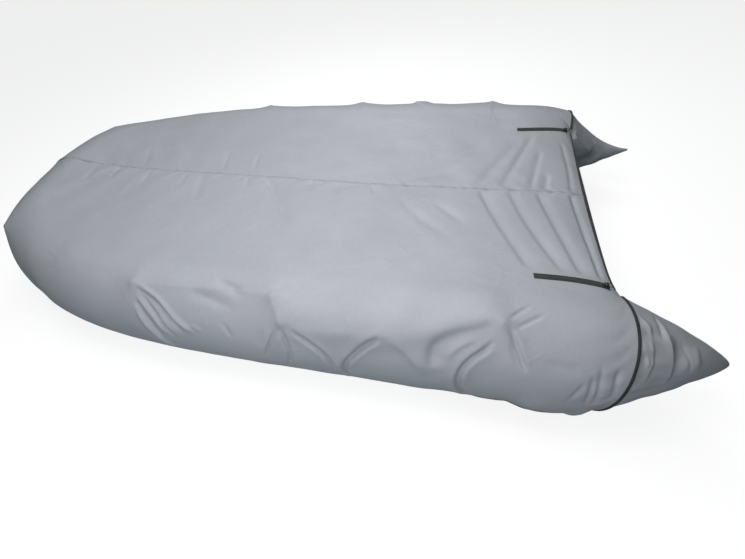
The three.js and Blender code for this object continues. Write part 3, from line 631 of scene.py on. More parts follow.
@dataclass
class HalfPanel:
    """One half of the cover: its folded sheet of cloth, from the centre seam to the hem."""

    sheet: HalfSheet
    zip_course: ZipCourse
    first_row: float = 0.00015
    runs: tuple[tuple[float, int], ...] = ((0.30, 66), (1.70, 290), (9.0, 80))
    top_columns: int = 72
    round_columns: int = 104
    thickness: float = 0.0014
    allowance: float = 0.045
    undulation: float = 0.0010
    undulation_pitch: float = 0.24
    ruffle: float = 0.0003
    ruffle_pitch: float = 0.075
    ruffle_stretch: float = 1.6
    pucker: float = 0.0012
    pucker_pitch: float = 0.062
    pucker_reach: float = 0.036
    pucker_seed: int = 7
    pucker_slant: float = 0.8
    seam_calm: tuple[float, float] = (0.004, 0.024)
    gather: float = 0.0015
    hem_gather: float = 0.0006
    gather_pitch: float = 0.048
    gather_reach: float = 0.045
    gather_end: float = -0.02
    edge_draw: float = 0.3
    zip_stiff: tuple[float, float] = (0.016, 0.055)
    mouth_calm: tuple[float, float] = (0.006, 0.040)

    def __post_init__(self) -> None:
        """Works out the grid of the outer face once, since the bindings and seams follow it."""
        self.along = self._stations()
        top = np.linspace(0, 1, self.top_columns + 1)
        round_part = np.linspace(1, 2, self.round_columns + 1)[1:]
        self.across = np.concatenate([top, round_part])
        flat, girth = self.sheet.smooth(self.along[:, None], self.across[None, :])
        middle = self.sheet.boat.tube(self.along, 0.0).centre[:, None]
        outward = np.where((self.across <= 1)[None, :, None], UP, flat - middle)
        lift = self._on_centre_plane(grid_normals(flat, outward))
        self.girth = girth
        height = self.relief(girth)
        grid = flat + lift * height[..., None]
        grid[..., 1] = np.maximum(grid[..., 1], 0.0)
        grid[:, 0, 1] = 0.0
        grid[-1, :, 1] = 0.0
        normals = self._on_centre_plane(grid_normals(grid, outward))
        inner = flat + lift * (lowest_near(height) - self.thickness)[..., None]
        self.grid = self.sheet.boat.to_frame(grid, self.sheet.side)
        self.inner = self.sheet.boat.to_frame(inner[::2, ::2], self.sheet.side)
        self.normals = normals * self.sheet.side.mirror

    def _stations(self) -> Array:
        """Distances along the tube of the rows, closer where the sheet turns down at the stern."""
        rows, start = [np.array([self.first_row])], self.first_row
        for end, steps in self.runs:
            stop = min(end, self.sheet.boat.length)
            rows.append(np.linspace(start, stop, steps + 1)[1:])
            start = stop
        return np.concatenate(rows)

    @staticmethod
    def _on_centre_plane(normals: Array) -> Array:
        """The normals, kept in the centre plane along the seam and down the nose."""
        normals[:, 0, 1] = 0.0
        normals[-1, :, 1] = 0.0
        return unit(normals)

    def relief(self, girth: Array) -> Array:
        """Height of everything that stands out of the taut sheet.

        It is the sum of the folds, a wide slack undulation, a fine ruffle, puckers drawn in by the
        centre seam and gathers at the hem and the pocket. All of it dies out at the pocket's mouth,
        and under the zip, whose tape keeps the cloth flat.
        """
        along = np.broadcast_to(self.along[:, None], girth.shape)
        places = np.stack([along, girth], axis=-1)
        seed = self.sheet.seed
        height = sum(fold.relief(places) for fold in self.sheet.folds)
        height = height + self.undulation * ripple(along, girth, self.undulation_pitch, seed)
        waves = ripple(along, girth, self.ruffle_pitch, seed + 1, stretch=self.ruffle_stretch)
        height += self.ruffle * waves
        from_seam = girth - girth[:, :1]
        height *= smooth_step(from_seam, *self.seam_calm)
        slanted = along - self.pucker_slant * from_seam
        waves = ripple(slanted, self.edge_draw * from_seam, self.pucker_pitch, self.pucker_seed)
        height += self.pucker * waves * np.exp(-from_seam / self.pucker_reach)
        from_hem = girth[:, -1:] - girth
        waves = ripple(along, self.edge_draw * from_hem, self.gather_pitch, seed + 3)
        height += self.hem_gather * waves * np.exp(-from_hem / self.gather_reach)
        waves = ripple(self.edge_draw * along, girth, self.gather_pitch, seed + 4)
        height += self.gather * waves * np.exp(-along / self.gather_reach) * (girth > self.gather_end)
        across = np.broadcast_to(self.across[None, :], girth.shape)
        crown_y = self.sheet.smooth(self.along[:, None], np.array([[1.0]]))[0][:, 0, 1][:, None]
        aside = np.abs(across * crown_y - self.zip_course.offset(along))
        beyond = np.maximum(along - self.zip_course.end, 0)
        near_zip = np.where(across <= 1, np.hypot(aside, beyond), 1.0)
        return height * smooth_step(near_zip, *self.zip_stiff) * smooth_step(along, *self.mouth_calm)

    def at(self, along: Array, across: Array) -> tuple[Array, Array]:
        """Points and normals of the folded sheet between the points of its grid.

        Args:
            along: distances along the tube.
            across: places across the half, of the same shape.

        Returns:
            Points and unit normals, each with a last axis of three.
        """
        row = np.interp(along, self.along, np.arange(len(self.along)))
        column = np.interp(across, self.across, np.arange(len(self.across)))
        i = np.minimum(row.astype(int), len(self.along) - 2)
        j = np.minimum(column.astype(int), len(self.across) - 2)
        s, t = (row - i)[..., None], (column - j)[..., None]

        def blend(values: Array) -> Array:
            """Values between the four grid points round each place."""
            near = values[i, j] * (1 - t) + values[i, j + 1] * t
            far = values[i + 1, j] * (1 - t) + values[i + 1, j + 1] * t
            return near * (1 - s) + far * s

        return blend(self.grid), unit(blend(self.normals))

    def cut(self) -> tuple[tuple[float, float], float]:
        """Size and area of the cloth it was cut from: as wide as its greatest girth from the seam to
        the hem and as long as its centre seam over the top and down the nose, each with the
        allowance. The area is without it."""
        girth = line_lengths(self.grid, 1).max()
        seam = line_lengths(self.grid[:, :1], 0) + line_lengths(self.grid[-1:], 1)
        return (float(girth) + self.allowance, float(seam[0]) + self.allowance), sheet_area(self.grid)

    def build(self) -> Piece:
        """The sheet as a closed mesh. Its inner face lies its thickness below the lowest outer point
        near each place, so that it doesn't come through in a sharp furrow."""
        name = f"panel_{self.sheet.side.label}"
        uv = np.stack([np.broadcast_to(self.along[:, None], self.girth.shape), self.girth], axis=-1)
        return place(cloth_shell(f"{name}_cloth", self.grid, self.inner, uv), "cloth", (name,))


# ---- Trim: bindings, seams, stitches and zips ---------------------------------------------------


@dataclass(frozen=True)
class Path:
    """A line on the cloth: points, unit normals out of it, and unit directions across the line."""

    points: Array
    up: Array
    across: Array

    @staticmethod
    def on(points: Array, up: Array) -> Path:
        """A path whose across directions are square to its run and to the given normals."""
        run = unit(np.gradient(points, axis=0))
        across = unit(np.cross(run, up))
        return Path(points, unit(np.cross(across, run)), across)

    @staticmethod
    def joined(lines: list[Path]) -> Path:
        """The places of several lines, one line after another."""
        columns = zip(*((line.points, line.up, line.across) for line in lines))
        return Path(*(np.concatenate(column) for column in columns))

    def moved(self, across: float, up: float) -> Path:
        """The same line, shifted sideways and outwards."""
        return Path(self.points + across * self.across + up * self.up, self.up, self.across)

    def spaced(self, pitch: float) -> Path:
        """Places at an equal pitch along the line, by straight interpolation of its length."""
        steps = np.linalg.norm(np.diff(self.points, axis=0), axis=1)
        run = np.concatenate([[0.0], np.cumsum(steps)])
        at = np.arange(0.5 * pitch, run[-1], pitch)

        def read(values: Array) -> Array:
            """A column of vectors, read at each of the places."""
            return np.stack([np.interp(at, run, values[:, k]) for k in range(3)], axis=-1)

        return Path(read(self.points), unit(read(self.up)), unit(read(self.across)))

    def bar(self, name: str, profile: Array) -> Piece:
        """A closed bar with one profile carried along the line."""
        return swept_bar(name, swept(profile, self.points, self.across, self.up))


def small_bars(
    name: str, path: Path, length: float, radius: float, lift: float = 0.0, crosswise: bool = False
) -> Piece:
    """One short bar of thread or wire at each place of a path.

    A bar is five rings of four points. Its radius is that of the middle times 0.3, 0.85, 1, 0.85 and
    0.3, and its ends dip by one radius, as a stitch does where it goes into the cloth.

    Args:
        name: the piece's name.
        path: where the bars lie.
        length: length of a bar.
        radius: half its thickness.
        lift: height of its middle above the path.
        crosswise: lays the bars across the path and not along it.

    Returns:
        All the bars as one piece.
    """
    share = np.array([-0.5, -0.32, 0.0, 0.32, 0.5])
    girth = np.array([0.3, 0.85, 1.0, 0.85, 0.3])
    dip = np.array([-1.0, -0.25, 0.0, -0.25, -1.0])
    turn = np.radians([45, 135, 225, 315])
    corners, points_in_bar = len(turn), len(share) * len(turn)
    lengthwise = np.repeat(share * length, corners)
    sideways = (radius * girth[:, None] * np.cos(turn)).reshape(-1)
    upwards = (radius * girth[:, None] * np.sin(turn) + (dip * radius)[:, None] + lift).reshape(-1)
    run = np.cross(path.up, path.across)
    first, second = (path.across, run) if crosswise else (run, path.across)
    points = (
        path.points[:, None]
        + lengthwise[None, :, None] * first[:, None]
        + sideways[None, :, None] * second[:, None]
        + upwards[None, :, None] * path.up[:, None]
    )
    ends = np.stack([np.arange(corners), points_in_bar - 1 - np.arange(corners)])
    one = np.concatenate([grid_faces(len(share), corners, closed=True), ends])
    firsts = points_in_bar * np.arange(len(path.points))
    faces = (one[None] + firsts[:, None, None]).reshape(-1, corners)
    bars = new_mesh_object(name, points.reshape(-1, 3), [faces])
    face_outwards(bars)
    return bars


BACK_POINTS, EDGE_POINTS = 9, 6  # points round a folded tape's back, and round a band's edge
SHOULDER = 0.8  # how high a band's top rises at the quarters of its width, as a share of its crown


def tape_fold(width: float, tape: float, clearance: float, cloth: float) -> Array:
    """Profile of a tape folded round an edge: a U with a round back, open towards the cloth.

    u is out of the cloth along its surface and v up from its outer face.

    Args:
        width: from the tape's lips to its back.
        tape: thickness of the tape.
        clearance: gap between the tape and the cloth.
        cloth: thickness of the cloth.

    Returns:
        Points (k, 2) of u and v.
    """
    top, bottom = clearance + tape, -cloth - clearance - tape
    reach, middle = (top - bottom) / 2, (top + bottom) / 2
    turn = np.linspace(np.pi / 2, -np.pi / 2, BACK_POINTS)
    back = np.stack([top - reach + reach * np.cos(turn), middle + reach * np.sin(turn)], axis=-1)
    lip = top - width
    lower = [[lip, bottom], [lip, bottom + tape], [clearance, bottom + tape]]
    upper = [[clearance, top - tape], [lip, top - tape], [lip, top]]
    return np.concatenate([back, lower, upper])


def rounded_band(width: float, thickness: float, low: float, crown: float) -> Array:
    """Profile of a flat band with round edges, lying ``low`` above its path.

    Its top rises by ``crown`` at the middle.
    """
    turn = np.linspace(np.pi / 2, 3 * np.pi / 2, EDGE_POINTS)
    edge, top = thickness / 2, low + thickness
    left = np.stack([-width / 2 + edge + edge * np.cos(turn), low + edge + edge * np.sin(turn)], axis=-1)
    right = left[::-1] * np.array([-1.0, 1.0])
    shoulder = top + SHOULDER * crown
    middle = np.array([[width / 4, shoulder], [0.0, top + crown], [-width / 4, shoulder]])
    return np.concatenate([left, right, middle])


@dataclass
class Bindings:
    """Black tape folded and stitched round the hems, the transom edge and the pockets' mouths."""

    port: HalfPanel
    starboard: HalfPanel
    transom_ends: tuple[float, float] = (0.506, 0.482)
    transom_steps: int = 90
    width: float = 0.010
    transom_width: float = 0.016
    tape: float = 0.0010
    clearance: float = 0.0003
    cloth: float = 0.0014
    ring_width: float = 0.0085
    ring_thickness: float = 0.0030
    ring_low: float = 0.0006
    ring_crown: float = 0.0003
    ring_past_corner: float = 2.4
    ring_open: float = 13.0
    ring_steps: int = 180
    hem_row: float = -0.0068
    ring_row: float = 0.0028
    transom_row: float = -0.0120
    stitch_pitch: float = 0.0052
    stitch_length: float = 0.0040
    thread: float = 0.00042

    def hem(self, panel: HalfPanel) -> Path:
        """The hem's edge, with the across direction out of the cloth."""
        points, up = panel.grid[2:, -1], panel.normals[2:, -1]
        out = unit(points - panel.grid[2:, -2])
        return Path(points, up, unit(out - np.sum(out * up, axis=-1, keepdims=True) * up))

    def transom(self) -> Path:
        """The transom edge, from the end near the port corner to that near the starboard one."""
        halves = []
        for panel, end, order in zip((self.port, self.starboard), self.transom_ends, (-1, 1)):
            crown = abs(panel.grid[0, panel.top_columns, 1])
            across = np.linspace(0, end / crown, self.transom_steps)
            edge, up = panel.at(np.full_like(across, panel.along[0]), across)
            inward, _ = panel.at(np.full_like(across, panel.along[2]), across)
            out = unit(edge - inward)
            up = unit(up - np.sum(out * up, axis=-1, keepdims=True) * out)
            rows = np.stack([edge, up, out])[:, ::order]
            halves.append(rows if order < 0 else rows[:, 1:])
        return Path(*np.concatenate(halves, axis=1))

    def mouth(self, panel: HalfPanel) -> Path:
        """The seam round a pocket's mouth, from just past the corner to under the sheet."""
        sheet = panel.sheet
        start = sheet.corner_angle + self.ring_past_corner
        angle = np.radians(np.linspace(start, start + 360 - self.ring_open, self.ring_steps))
        tube = sheet.boat.tube(np.array([0.0]), sheet.stern_taper)
        round_tube = np.stack([np.zeros_like(angle), np.sin(angle), np.cos(angle)], axis=-1)
        points = tube.centre + tube.radius * round_tube
        points[:, 0] = sheet.mouth_x(angle)
        return Path.on(sheet.boat.to_frame(points, sheet.side), unit(round_tube * sheet.side.mirror))

    def _bound(self, node: str, path: Path, profile: Array, row: float, height: float) -> Dressed:
        """A tape along a path and the stitches that hold it.

        Args:
            node: the CAD node that the tape stands for.
            path: the edge or seam that the tape follows.
            profile: the tape's cross-section.
            row: distance of the stitches across the path.
            height: height of the tape's top above the path.

        Returns:
            The two pieces with their finishes.
        """
        tape = place(path.bar(f"{node}_tape", profile), "binding", (node,))
        stitches = path.moved(row, height).spaced(self.stitch_pitch)
        name = node.replace("binding", "stitches")
        thread = place(small_bars(name, stitches, self.stitch_length, self.thread), "binding")
        return [(tape, Finish.BINDING), (thread, Finish.BLACK_THREAD)]

    def build(self) -> Dressed:
        """All the bindings and their stitches."""
        made = []
        hem_fold = tape_fold(self.width, self.tape, self.clearance, self.cloth)
        band = rounded_band(self.ring_width, self.ring_thickness, self.ring_low, self.ring_crown)
        fold_top, band_top = self.clearance + self.tape, self.ring_low + self.ring_thickness
        for panel in (self.port, self.starboard):
            label = panel.sheet.side.label
            made += self._bound(f"hem_binding_{label}", self.hem(panel), hem_fold, self.hem_row, fold_top)
            made += self._bound(f"ring_binding_{label}", self.mouth(panel), band, self.ring_row, band_top)
        fold = tape_fold(self.transom_width, self.tape, self.clearance, self.cloth)
        return made + self._bound("transom_binding", self.transom(), fold, self.transom_row, fold_top)


@dataclass
class CentreSeam:
    """The flat lapped seam that joins the halves, with two rows of stitches: it runs forward along
    the top from the transom edge and down over the nose to the hem."""

    starboard: HalfPanel
    width: float = 0.010
    thickness: float = 0.0018
    low: float = -0.0008
    crown: float = 0.0002
    row_offset: float = 0.0012
    stitch_pitch: float = 0.0050
    stitch_length: float = 0.0044
    thread: float = 0.00065

    def path(self) -> Path:
        """The halves' common edge: first column of the grid, then its last row."""
        panel = self.starboard
        points = np.concatenate([panel.grid[1:, 0], panel.grid[-1, 1:-1]])
        up = np.concatenate([panel.normals[1:, 0], panel.normals[-1, 1:-1]])
        return Path(points, up, np.broadcast_to(np.array([0.0, 1.0, 0.0]), points.shape))

    def build(self) -> Dressed:
        """The seam's strip of cloth and its stitches, whose dark thread also paints the thin line of shade
        in the gap of the seam's fold.
        """
        path, top = self.path(), self.low + self.thickness
        band = rounded_band(self.width, self.thickness, self.low, self.crown)
        strip = place(path.bar("centre_seam_lap", band), "cloth")
        rows = [path.moved(side * self.row_offset, top).spaced(self.stitch_pitch) for side in (-1, 1)]
        # Two close rows of nearly touching dark stitches: real stitching, and also a painted line of shade
        # along the seam.
        stitches = small_bars("centre_seam_stitches", Path.joined(rows), self.stitch_length, self.thread)
        return [(strip, Finish.CLOTH), (place(stitches, "cloth"), Finish.GREY_THREAD)]


@dataclass
class StitchedZip:
    """A coil zip let into the top at a stern corner: its tape, two rows of teeth and its stitches."""

    panel: HalfPanel
    width: float = 0.025
    tape: float = 0.0010
    tape_low: float = 0.0005
    tooth_pitch: float = 0.0021
    tooth_length: float = 0.0050
    tooth_radius: float = 0.00085
    tooth_offset: float = 0.0019
    tooth_stagger: float = 0.25
    row_offset: float = 0.0102
    stitch_pitch: float = 0.0048
    stitch_length: float = 0.0036
    thread: float = 0.0004
    steps: int = 90
    columns: int = 12

    def line(self, aside: float) -> Path:
        """A line along the zip, ``aside`` from its middle, from its stern end forward."""
        course = self.panel.zip_course
        along = np.linspace(course.start, course.end, self.steps)
        crown_y = self.panel.sheet.smooth(along[:, None], np.array([[1.0]]))[0][:, 0, 1]
        return Path.on(*self.panel.at(along, (course.offset(along) + aside) / crown_y))

    def build(self) -> Dressed:
        """The zip's three pieces."""
        label, top = self.panel.sheet.side.label, self.tape_low + self.tape
        sides = np.linspace(-self.width / 2, self.width / 2, self.columns)
        lines = [self.line(aside) for aside in sides]
        low = np.stack([line.moved(0.0, self.tape_low).points for line in lines], axis=1)
        high = np.stack([line.moved(0.0, top).points for line in lines], axis=1)
        tape = swept_bar(f"zip_{label}_tape", np.concatenate([high, low[:, ::-1]], axis=1))
        tape = place(tape, "zip_tape", (f"zip_{label}",))
        middle, rows = self.line(0.0), []
        for sign in (-1, 1):
            row = middle.moved(sign * self.tooth_offset, top).spaced(self.tooth_pitch)
            shift = self.tooth_stagger * sign * self.tooth_pitch
            rows.append(Path(row.points + shift * np.cross(row.up, row.across), row.up, row.across))
        teeth = small_bars(
            f"zip_{label}_teeth", Path.joined(rows), self.tooth_length, self.tooth_radius,
            lift=self.tooth_radius, crosswise=True,
        )
        teeth = place(teeth, "zip_tape")
        seams = [self.line(sign * self.row_offset).moved(0.0, top) for sign in (-1, 1)]
        seams = Path.joined([seam.spaced(self.stitch_pitch) for seam in seams])
        stitches = small_bars(f"zip_{label}_stitches", seams, self.stitch_length, self.thread)
        stitches = place(stitches, "zip_tape")
        return [(tape, Finish.ZIP_TAPE), (teeth, Finish.TEETH), (stitches, Finish.BLACK_THREAD)]


# ---- Pockets ------------------------------------------------------------------------------------


@dataclass
class Pocket:
    """The cone of cloth over the end of a tube, gathered into the seam round its mouth."""

    sheet: HalfSheet
    length: float
    lift: float
    wasting_top: float
    wasting_bottom: float
    folds: tuple[Fold, ...] = ()
    tip_radius: float = 0.005
    tip_cap: float = 0.004
    gap: float = 0.0003
    thickness: float = 0.0014
    rings: int = 132
    columns: int = 168
    ring_crowding: float = 1.15
    weave_radius: float = 0.19
    gather: float = 0.0020
    gather_pitch: float = 0.042
    gather_reach: float = 0.055
    gather_draw: float = 0.25
    slack: float = 0.0009
    slack_pitch: float = 0.11
    mouth_calm: tuple[float, float] = (0.004, 0.030)
    tip_calm: float = 0.12

    def smooth(self, fraction: Array, angle: Array) -> Array:
        """The taut cone: its girth wastes as (1 - f)^w, with w from top to bottom by (1 - cos)/2,
        and its mouth leans as the seam round it does."""
        tube = self.sheet.boat.tube(np.array([0.0]), self.sheet.stern_taper)
        low = (1 - np.cos(angle)) / 2
        wasting = self.wasting_top + (self.wasting_bottom - self.wasting_top) * low
        reach = (float(tube.radius[0]) - self.tip_radius) * (1 - fraction) ** wasting + self.tip_radius
        x = self.gap / 2 + self.sheet.mouth_x(angle) * (1 - fraction) + fraction * self.length
        y = tube.centre[0, 1] + reach * np.sin(angle)
        z = tube.centre[0, 2] + self.lift * fraction + reach * np.cos(angle)
        return np.stack(np.broadcast_arrays(x, y, z), axis=-1)

    def relief(self, fraction: Array, angle: Array) -> Array:
        """Height of the folds: gathers that fade with the distance from the mouth, a slack
        undulation that goes as 4f(1 - f), and the stated folds by share of length and of a turn.
        All of it dies out at the mouth and at the tip."""
        seed = self.sheet.seed + 20
        from_mouth = fraction * self.length
        girth = angle * self.sheet.boat.tube_radius
        waves = ripple(self.gather_draw * from_mouth, girth, self.gather_pitch, seed)
        height = self.gather * waves * np.exp(-from_mouth / self.gather_reach)
        waves = ripple(from_mouth, girth * (1 - fraction), self.slack_pitch, seed + 1)
        height = height + self.slack * (4 * fraction * (1 - fraction)) * waves
        places = np.stack(np.broadcast_arrays(fraction, np.degrees(angle) / 360), axis=-1)
        for fold in self.folds:
            height = height + fold.relief(places)
        height = height * smooth_step(from_mouth, *self.mouth_calm)
        return height * smooth_step(1 - fraction, 0.0, self.tip_calm)

    def cut(self) -> tuple[tuple[float, float], float]:
        """Size and area of the cloth it was cut from. A cone this steep, slit and laid flat, is
        nearly half a disc: as wide as its longest side and as long as two of its mean sides."""
        sides = line_lengths(self.cone, 0)
        return (float(sides.max()), float(2 * sides.mean())), sheet_area(self.cone)

    def build(self) -> Piece:
        """The cone as a closed shell of cloth with a rounded tip."""
        fraction = (1 - (1 - np.linspace(0, 1, self.rings)) ** self.ring_crowding)[:, None]
        angle = np.linspace(0, 2 * np.pi, self.columns, endpoint=False)[None, :]
        flat = self.smooth(fraction, angle)
        middle = flat.mean(axis=1, keepdims=True)
        padded = np.concatenate([flat[:, -1:], flat, flat[:, :1]], axis=1)
        normals = grid_normals(padded, padded - middle)[:, 1:-1]
        wrapped = np.where(angle > np.pi, angle - 2 * np.pi, angle)
        cone = flat + self.relief(fraction, wrapped)[..., None] * normals
        self.cone = np.concatenate([cone, cone[:, :1]], axis=1)
        side, label = self.sheet.side, self.sheet.side.label
        tip = flat[-1].mean(axis=0) + np.array([self.tip_cap, 0.0, 0.0])
        points = self.sheet.boat.to_frame(np.concatenate([cone.reshape(-1, 3), tip[None]]), side)
        weave = np.broadcast_arrays(fraction * self.length, wrapped * self.weave_radius)
        uv = np.concatenate([np.stack(weave, axis=-1).reshape(-1, 2), [[self.length, 0.0]]])
        sides = grid_faces(self.rings, self.columns, closed=True)
        last, count = (self.rings - 1) * self.columns, self.rings * self.columns
        k = np.arange(self.columns)
        cap = np.stack([last + k, np.full_like(k, count), last + (k + 1) % self.columns], axis=-1)
        faces = [sides, cap] if side is Side.STARBOARD else [sides[:, ::-1], cap[:, ::-1]]
        piece = new_mesh_object(f"pocket_{label}_cloth", points, faces, uv)
        wall = piece.modifiers.new("thickness", "SOLIDIFY")
        wall.thickness = self.thickness
        wall.offset = -1.0
        return place(piece, "cloth", (f"pocket_{label}",))


# ---- Finishes -----------------------------------------------------------------------------------


class Nodes:
    """A tree of shader nodes, with short ways to add to it."""

    def __init__(self, tree: bpy.types.NodeTree) -> None:
        """Starts on the tree of a material or a group."""
        self.tree = tree

    def feed(self, socket: Socket, value: object) -> None:
        """Links an input from an output socket, or gives it a plain value."""
        if isinstance(value, bpy.types.NodeSocket):
            self.tree.links.new(value, socket)
        else:
            socket.default_value = value

    def add(self, kind: str, inputs: dict, **settings: object) -> bpy.types.bpy_prop_collection:
        """Adds a node to the tree.

        Args:
            kind: the node's type name, without the word ShaderNode before it.
            inputs: for each input by name or number, a value or an output socket to link from.
            settings: the node's own options.

        Returns:
            The node's outputs.
        """
        made = self.tree.nodes.new(f"ShaderNode{kind}")
        for key, value in settings.items():
            setattr(made, key, value)
        for key, value in inputs.items():
            self.feed(made.inputs[key], value)
        return made.outputs

    def maths(self, operation: str, *values: object) -> Socket:
        """The output of a Math node on numbers or sockets."""
        return self.add("Math", dict(enumerate(values)), operation=operation)[0]

    def times(self, first: object, second: object) -> Socket:
        """The product of two values."""
        return self.maths("MULTIPLY", first, second)

    def plus(self, first: object, second: object) -> Socket:
        """The sum of two values."""
        return self.maths("ADD", first, second)

    def noise(self, at: Socket, scale: object, detail: float, roughness: float = 0.5) -> Socket:
        """The value of a Noise Texture node."""
        inputs = {"Vector": at, "Scale": scale, "Detail": detail, "Roughness": roughness}
        return self.add("TexNoise", inputs)[0]

    def spread(self, value: Socket, low: object, high: object) -> Socket:
        """A value's share of the way from low to high."""
        return self.add("MapRange", {"Value": value, "From Min": low, "From Max": high})[0]

    def blend(self, share: object, first: object, second: object) -> Socket:
        """A mix of two colours, each a socket or three numbers: inputs 6 and 7 of the Mix node."""
        inputs = {0: share}
        for number, colour in ((6, first), (7, second)):
            inputs[number] = (*colour, 1.0) if isinstance(colour, tuple) else colour
        return self.add("Mix", inputs, data_type="RGBA")[2]


class Group(Nodes):
    """A node group with its named inputs and outputs."""

    def __init__(self, name: str, inputs: dict[str, float | None], outputs: tuple[str, ...]) -> None:
        """Makes the group with its sockets; a vector input has the value None."""
        super().__init__(bpy.data.node_groups.new(name, "ShaderNodeTree"))
        for key, value in inputs.items():
            kind = "NodeSocketVector" if value is None else "NodeSocketFloat"
            socket = self.tree.interface.new_socket(key, in_out="INPUT", socket_type=kind)
            if value is not None:
                socket.default_value = value
        for key in outputs:
            self.tree.interface.new_socket(key, in_out="OUTPUT", socket_type="NodeSocketFloat")
        self.given = self.tree.nodes.new("NodeGroupInput").outputs
        self.result = self.tree.nodes.new("NodeGroupOutput").inputs

    def put_out(self, **values: Socket) -> bpy.types.NodeTree:
        """Links the group's outputs and hands its tree over."""
        for key, value in values.items():
            self.feed(self.result[key], value)
        return self.tree


class Effects:
    """Shader node groups that the finishes share. They put out masks and heights alone."""

    def __init__(self) -> None:
        """Builds each group once."""
        self.weave = self._weave()
        self.soil = self._soil()
        self.crumple = self._crumple()
        self.ribs = self._ribs()

    @staticmethod
    def _weave() -> bpy.types.NodeTree:
        """Threads of a plain weave: half the sum of |sin| along and across, at a pitch in metres.

        Slubs is a slow change of the threads' height along them.
        """
        group = Group("plain_weave", {"Place": None, "Pitch": 0.0012}, ("Height", "Slubs"))
        at = group.given["Place"]
        along, across, _ = group.add("SeparateXYZ", {0: at})
        turns = group.maths("DIVIDE", np.pi, group.given["Pitch"])
        sines = [group.maths("SINE", group.times(axis, turns)) for axis in (along, across)]
        waves = [group.maths("ABSOLUTE", sine) for sine in sines]
        threads = group.times(group.plus(*waves), 0.5)
        stretched = group.add("Mapping", {"Vector": at, "Scale": (30.0, 400.0, 1.0)})[0]
        return group.put_out(Height=threads, Slubs=group.noise(stretched, 1.0, detail=2.0))

    @staticmethod
    def _soil() -> bpy.types.NodeTree:
        """Patches of dust: cloudy noise of a size in metres, sharpened about its middle."""
        group = Group("soil", {"Place": None, "Size": 0.2, "Spread": 0.2}, ("Mask",))
        scale = group.maths("DIVIDE", 1.0, group.given["Size"])
        cloud = group.noise(group.given["Place"], scale, detail=5.0, roughness=0.6)
        low = group.maths("SUBTRACT", 0.5, group.given["Spread"])
        return group.put_out(Mask=group.spread(cloud, low, group.plus(0.5, group.given["Spread"])))

    @staticmethod
    def _crumple() -> bpy.types.NodeTree:
        """Fine handling creases: the edges of cells whose places are shifted by a slow noise, as
        ridges that fall off over a sixth of a cell and show only in some areas."""
        group = Group("crumple", {"Place": None, "Size": 0.08}, ("Height",))
        at, shift, fall = group.given["Place"], 0.09, 0.16
        scale = group.maths("DIVIDE", 1.0, group.given["Size"])
        slow = {"Vector": at, "Scale": group.times(scale, 0.7), "Detail": 2.0}
        warp = group.add("TexNoise", slow)["Color"]
        push = group.add("VectorMath", {0: warp, "Scale": shift}, operation="SCALE")[0]
        shifted = group.add("VectorMath", {0: at, 1: push}, operation="ADD")[0]
        cells = group.add("TexVoronoi", {"Vector": shifted, "Scale": scale}, feature="DISTANCE_TO_EDGE")
        ridge = group.add(
            "MapRange",
            {"Value": cells["Distance"], "From Min": 0.0, "From Max": fall, "To Min": 1.0, "To Max": 0.0},
            interpolation_type="SMOOTHSTEP",
        )[0]
        areas = group.spread(group.noise(at, group.times(scale, 0.35), detail=1.0), 0.48, 0.66)
        return group.put_out(Height=group.times(ridge, areas))

    @staticmethod
    def _ribs() -> bpy.types.NodeTree:
        """Ribs across a woven tape: |sine| along it at a pitch in metres, to the power 0.6 for
        round tops."""
        group = Group("tape_ribs", {"Place": None, "Pitch": 0.0014}, ("Height",))
        along = group.add("SeparateXYZ", {0: group.given["Place"]})[0]
        wave = group.maths("SINE", group.maths("DIVIDE", group.times(along, np.pi), group.given["Pitch"]))
        return group.put_out(Height=group.maths("POWER", group.maths("ABSOLUTE", wave), 0.6))


class Recipe(Nodes):
    """A material with its Principled shader, and places on it by object and by cloth."""

    def __init__(self, name: str) -> None:
        """Starts the material."""
        self.material = bpy.data.materials.new(name)
        self.material.use_nodes = True
        super().__init__(self.material.node_tree)
        self.shader = self.tree.nodes["Principled BSDF"].inputs
        coords = self.tree.nodes.new("ShaderNodeTexCoord").outputs
        self.place, self.on_cloth = coords["Object"], coords["UV"]

    def use(self, group: bpy.types.NodeTree, **inputs: object) -> bpy.types.bpy_prop_collection:
        """Places a group with this material's own values, and gives its outputs."""
        return self.add("Group", inputs, node_tree=group)

    def shade(self, **inputs: object) -> bpy.types.Material:
        """Feeds the shader's inputs, named with _ for a space, and hands the material over."""
        for key, value in inputs.items():
            self.feed(self.shader[key.replace("_", " ")], value)
        return self.material

    def bump(self, height: Socket, strength: float) -> Socket:
        """The normal that a height in metres gives."""
        return self.add("Bump", {"Strength": strength, "Distance": 1.0, "Height": height})[0]


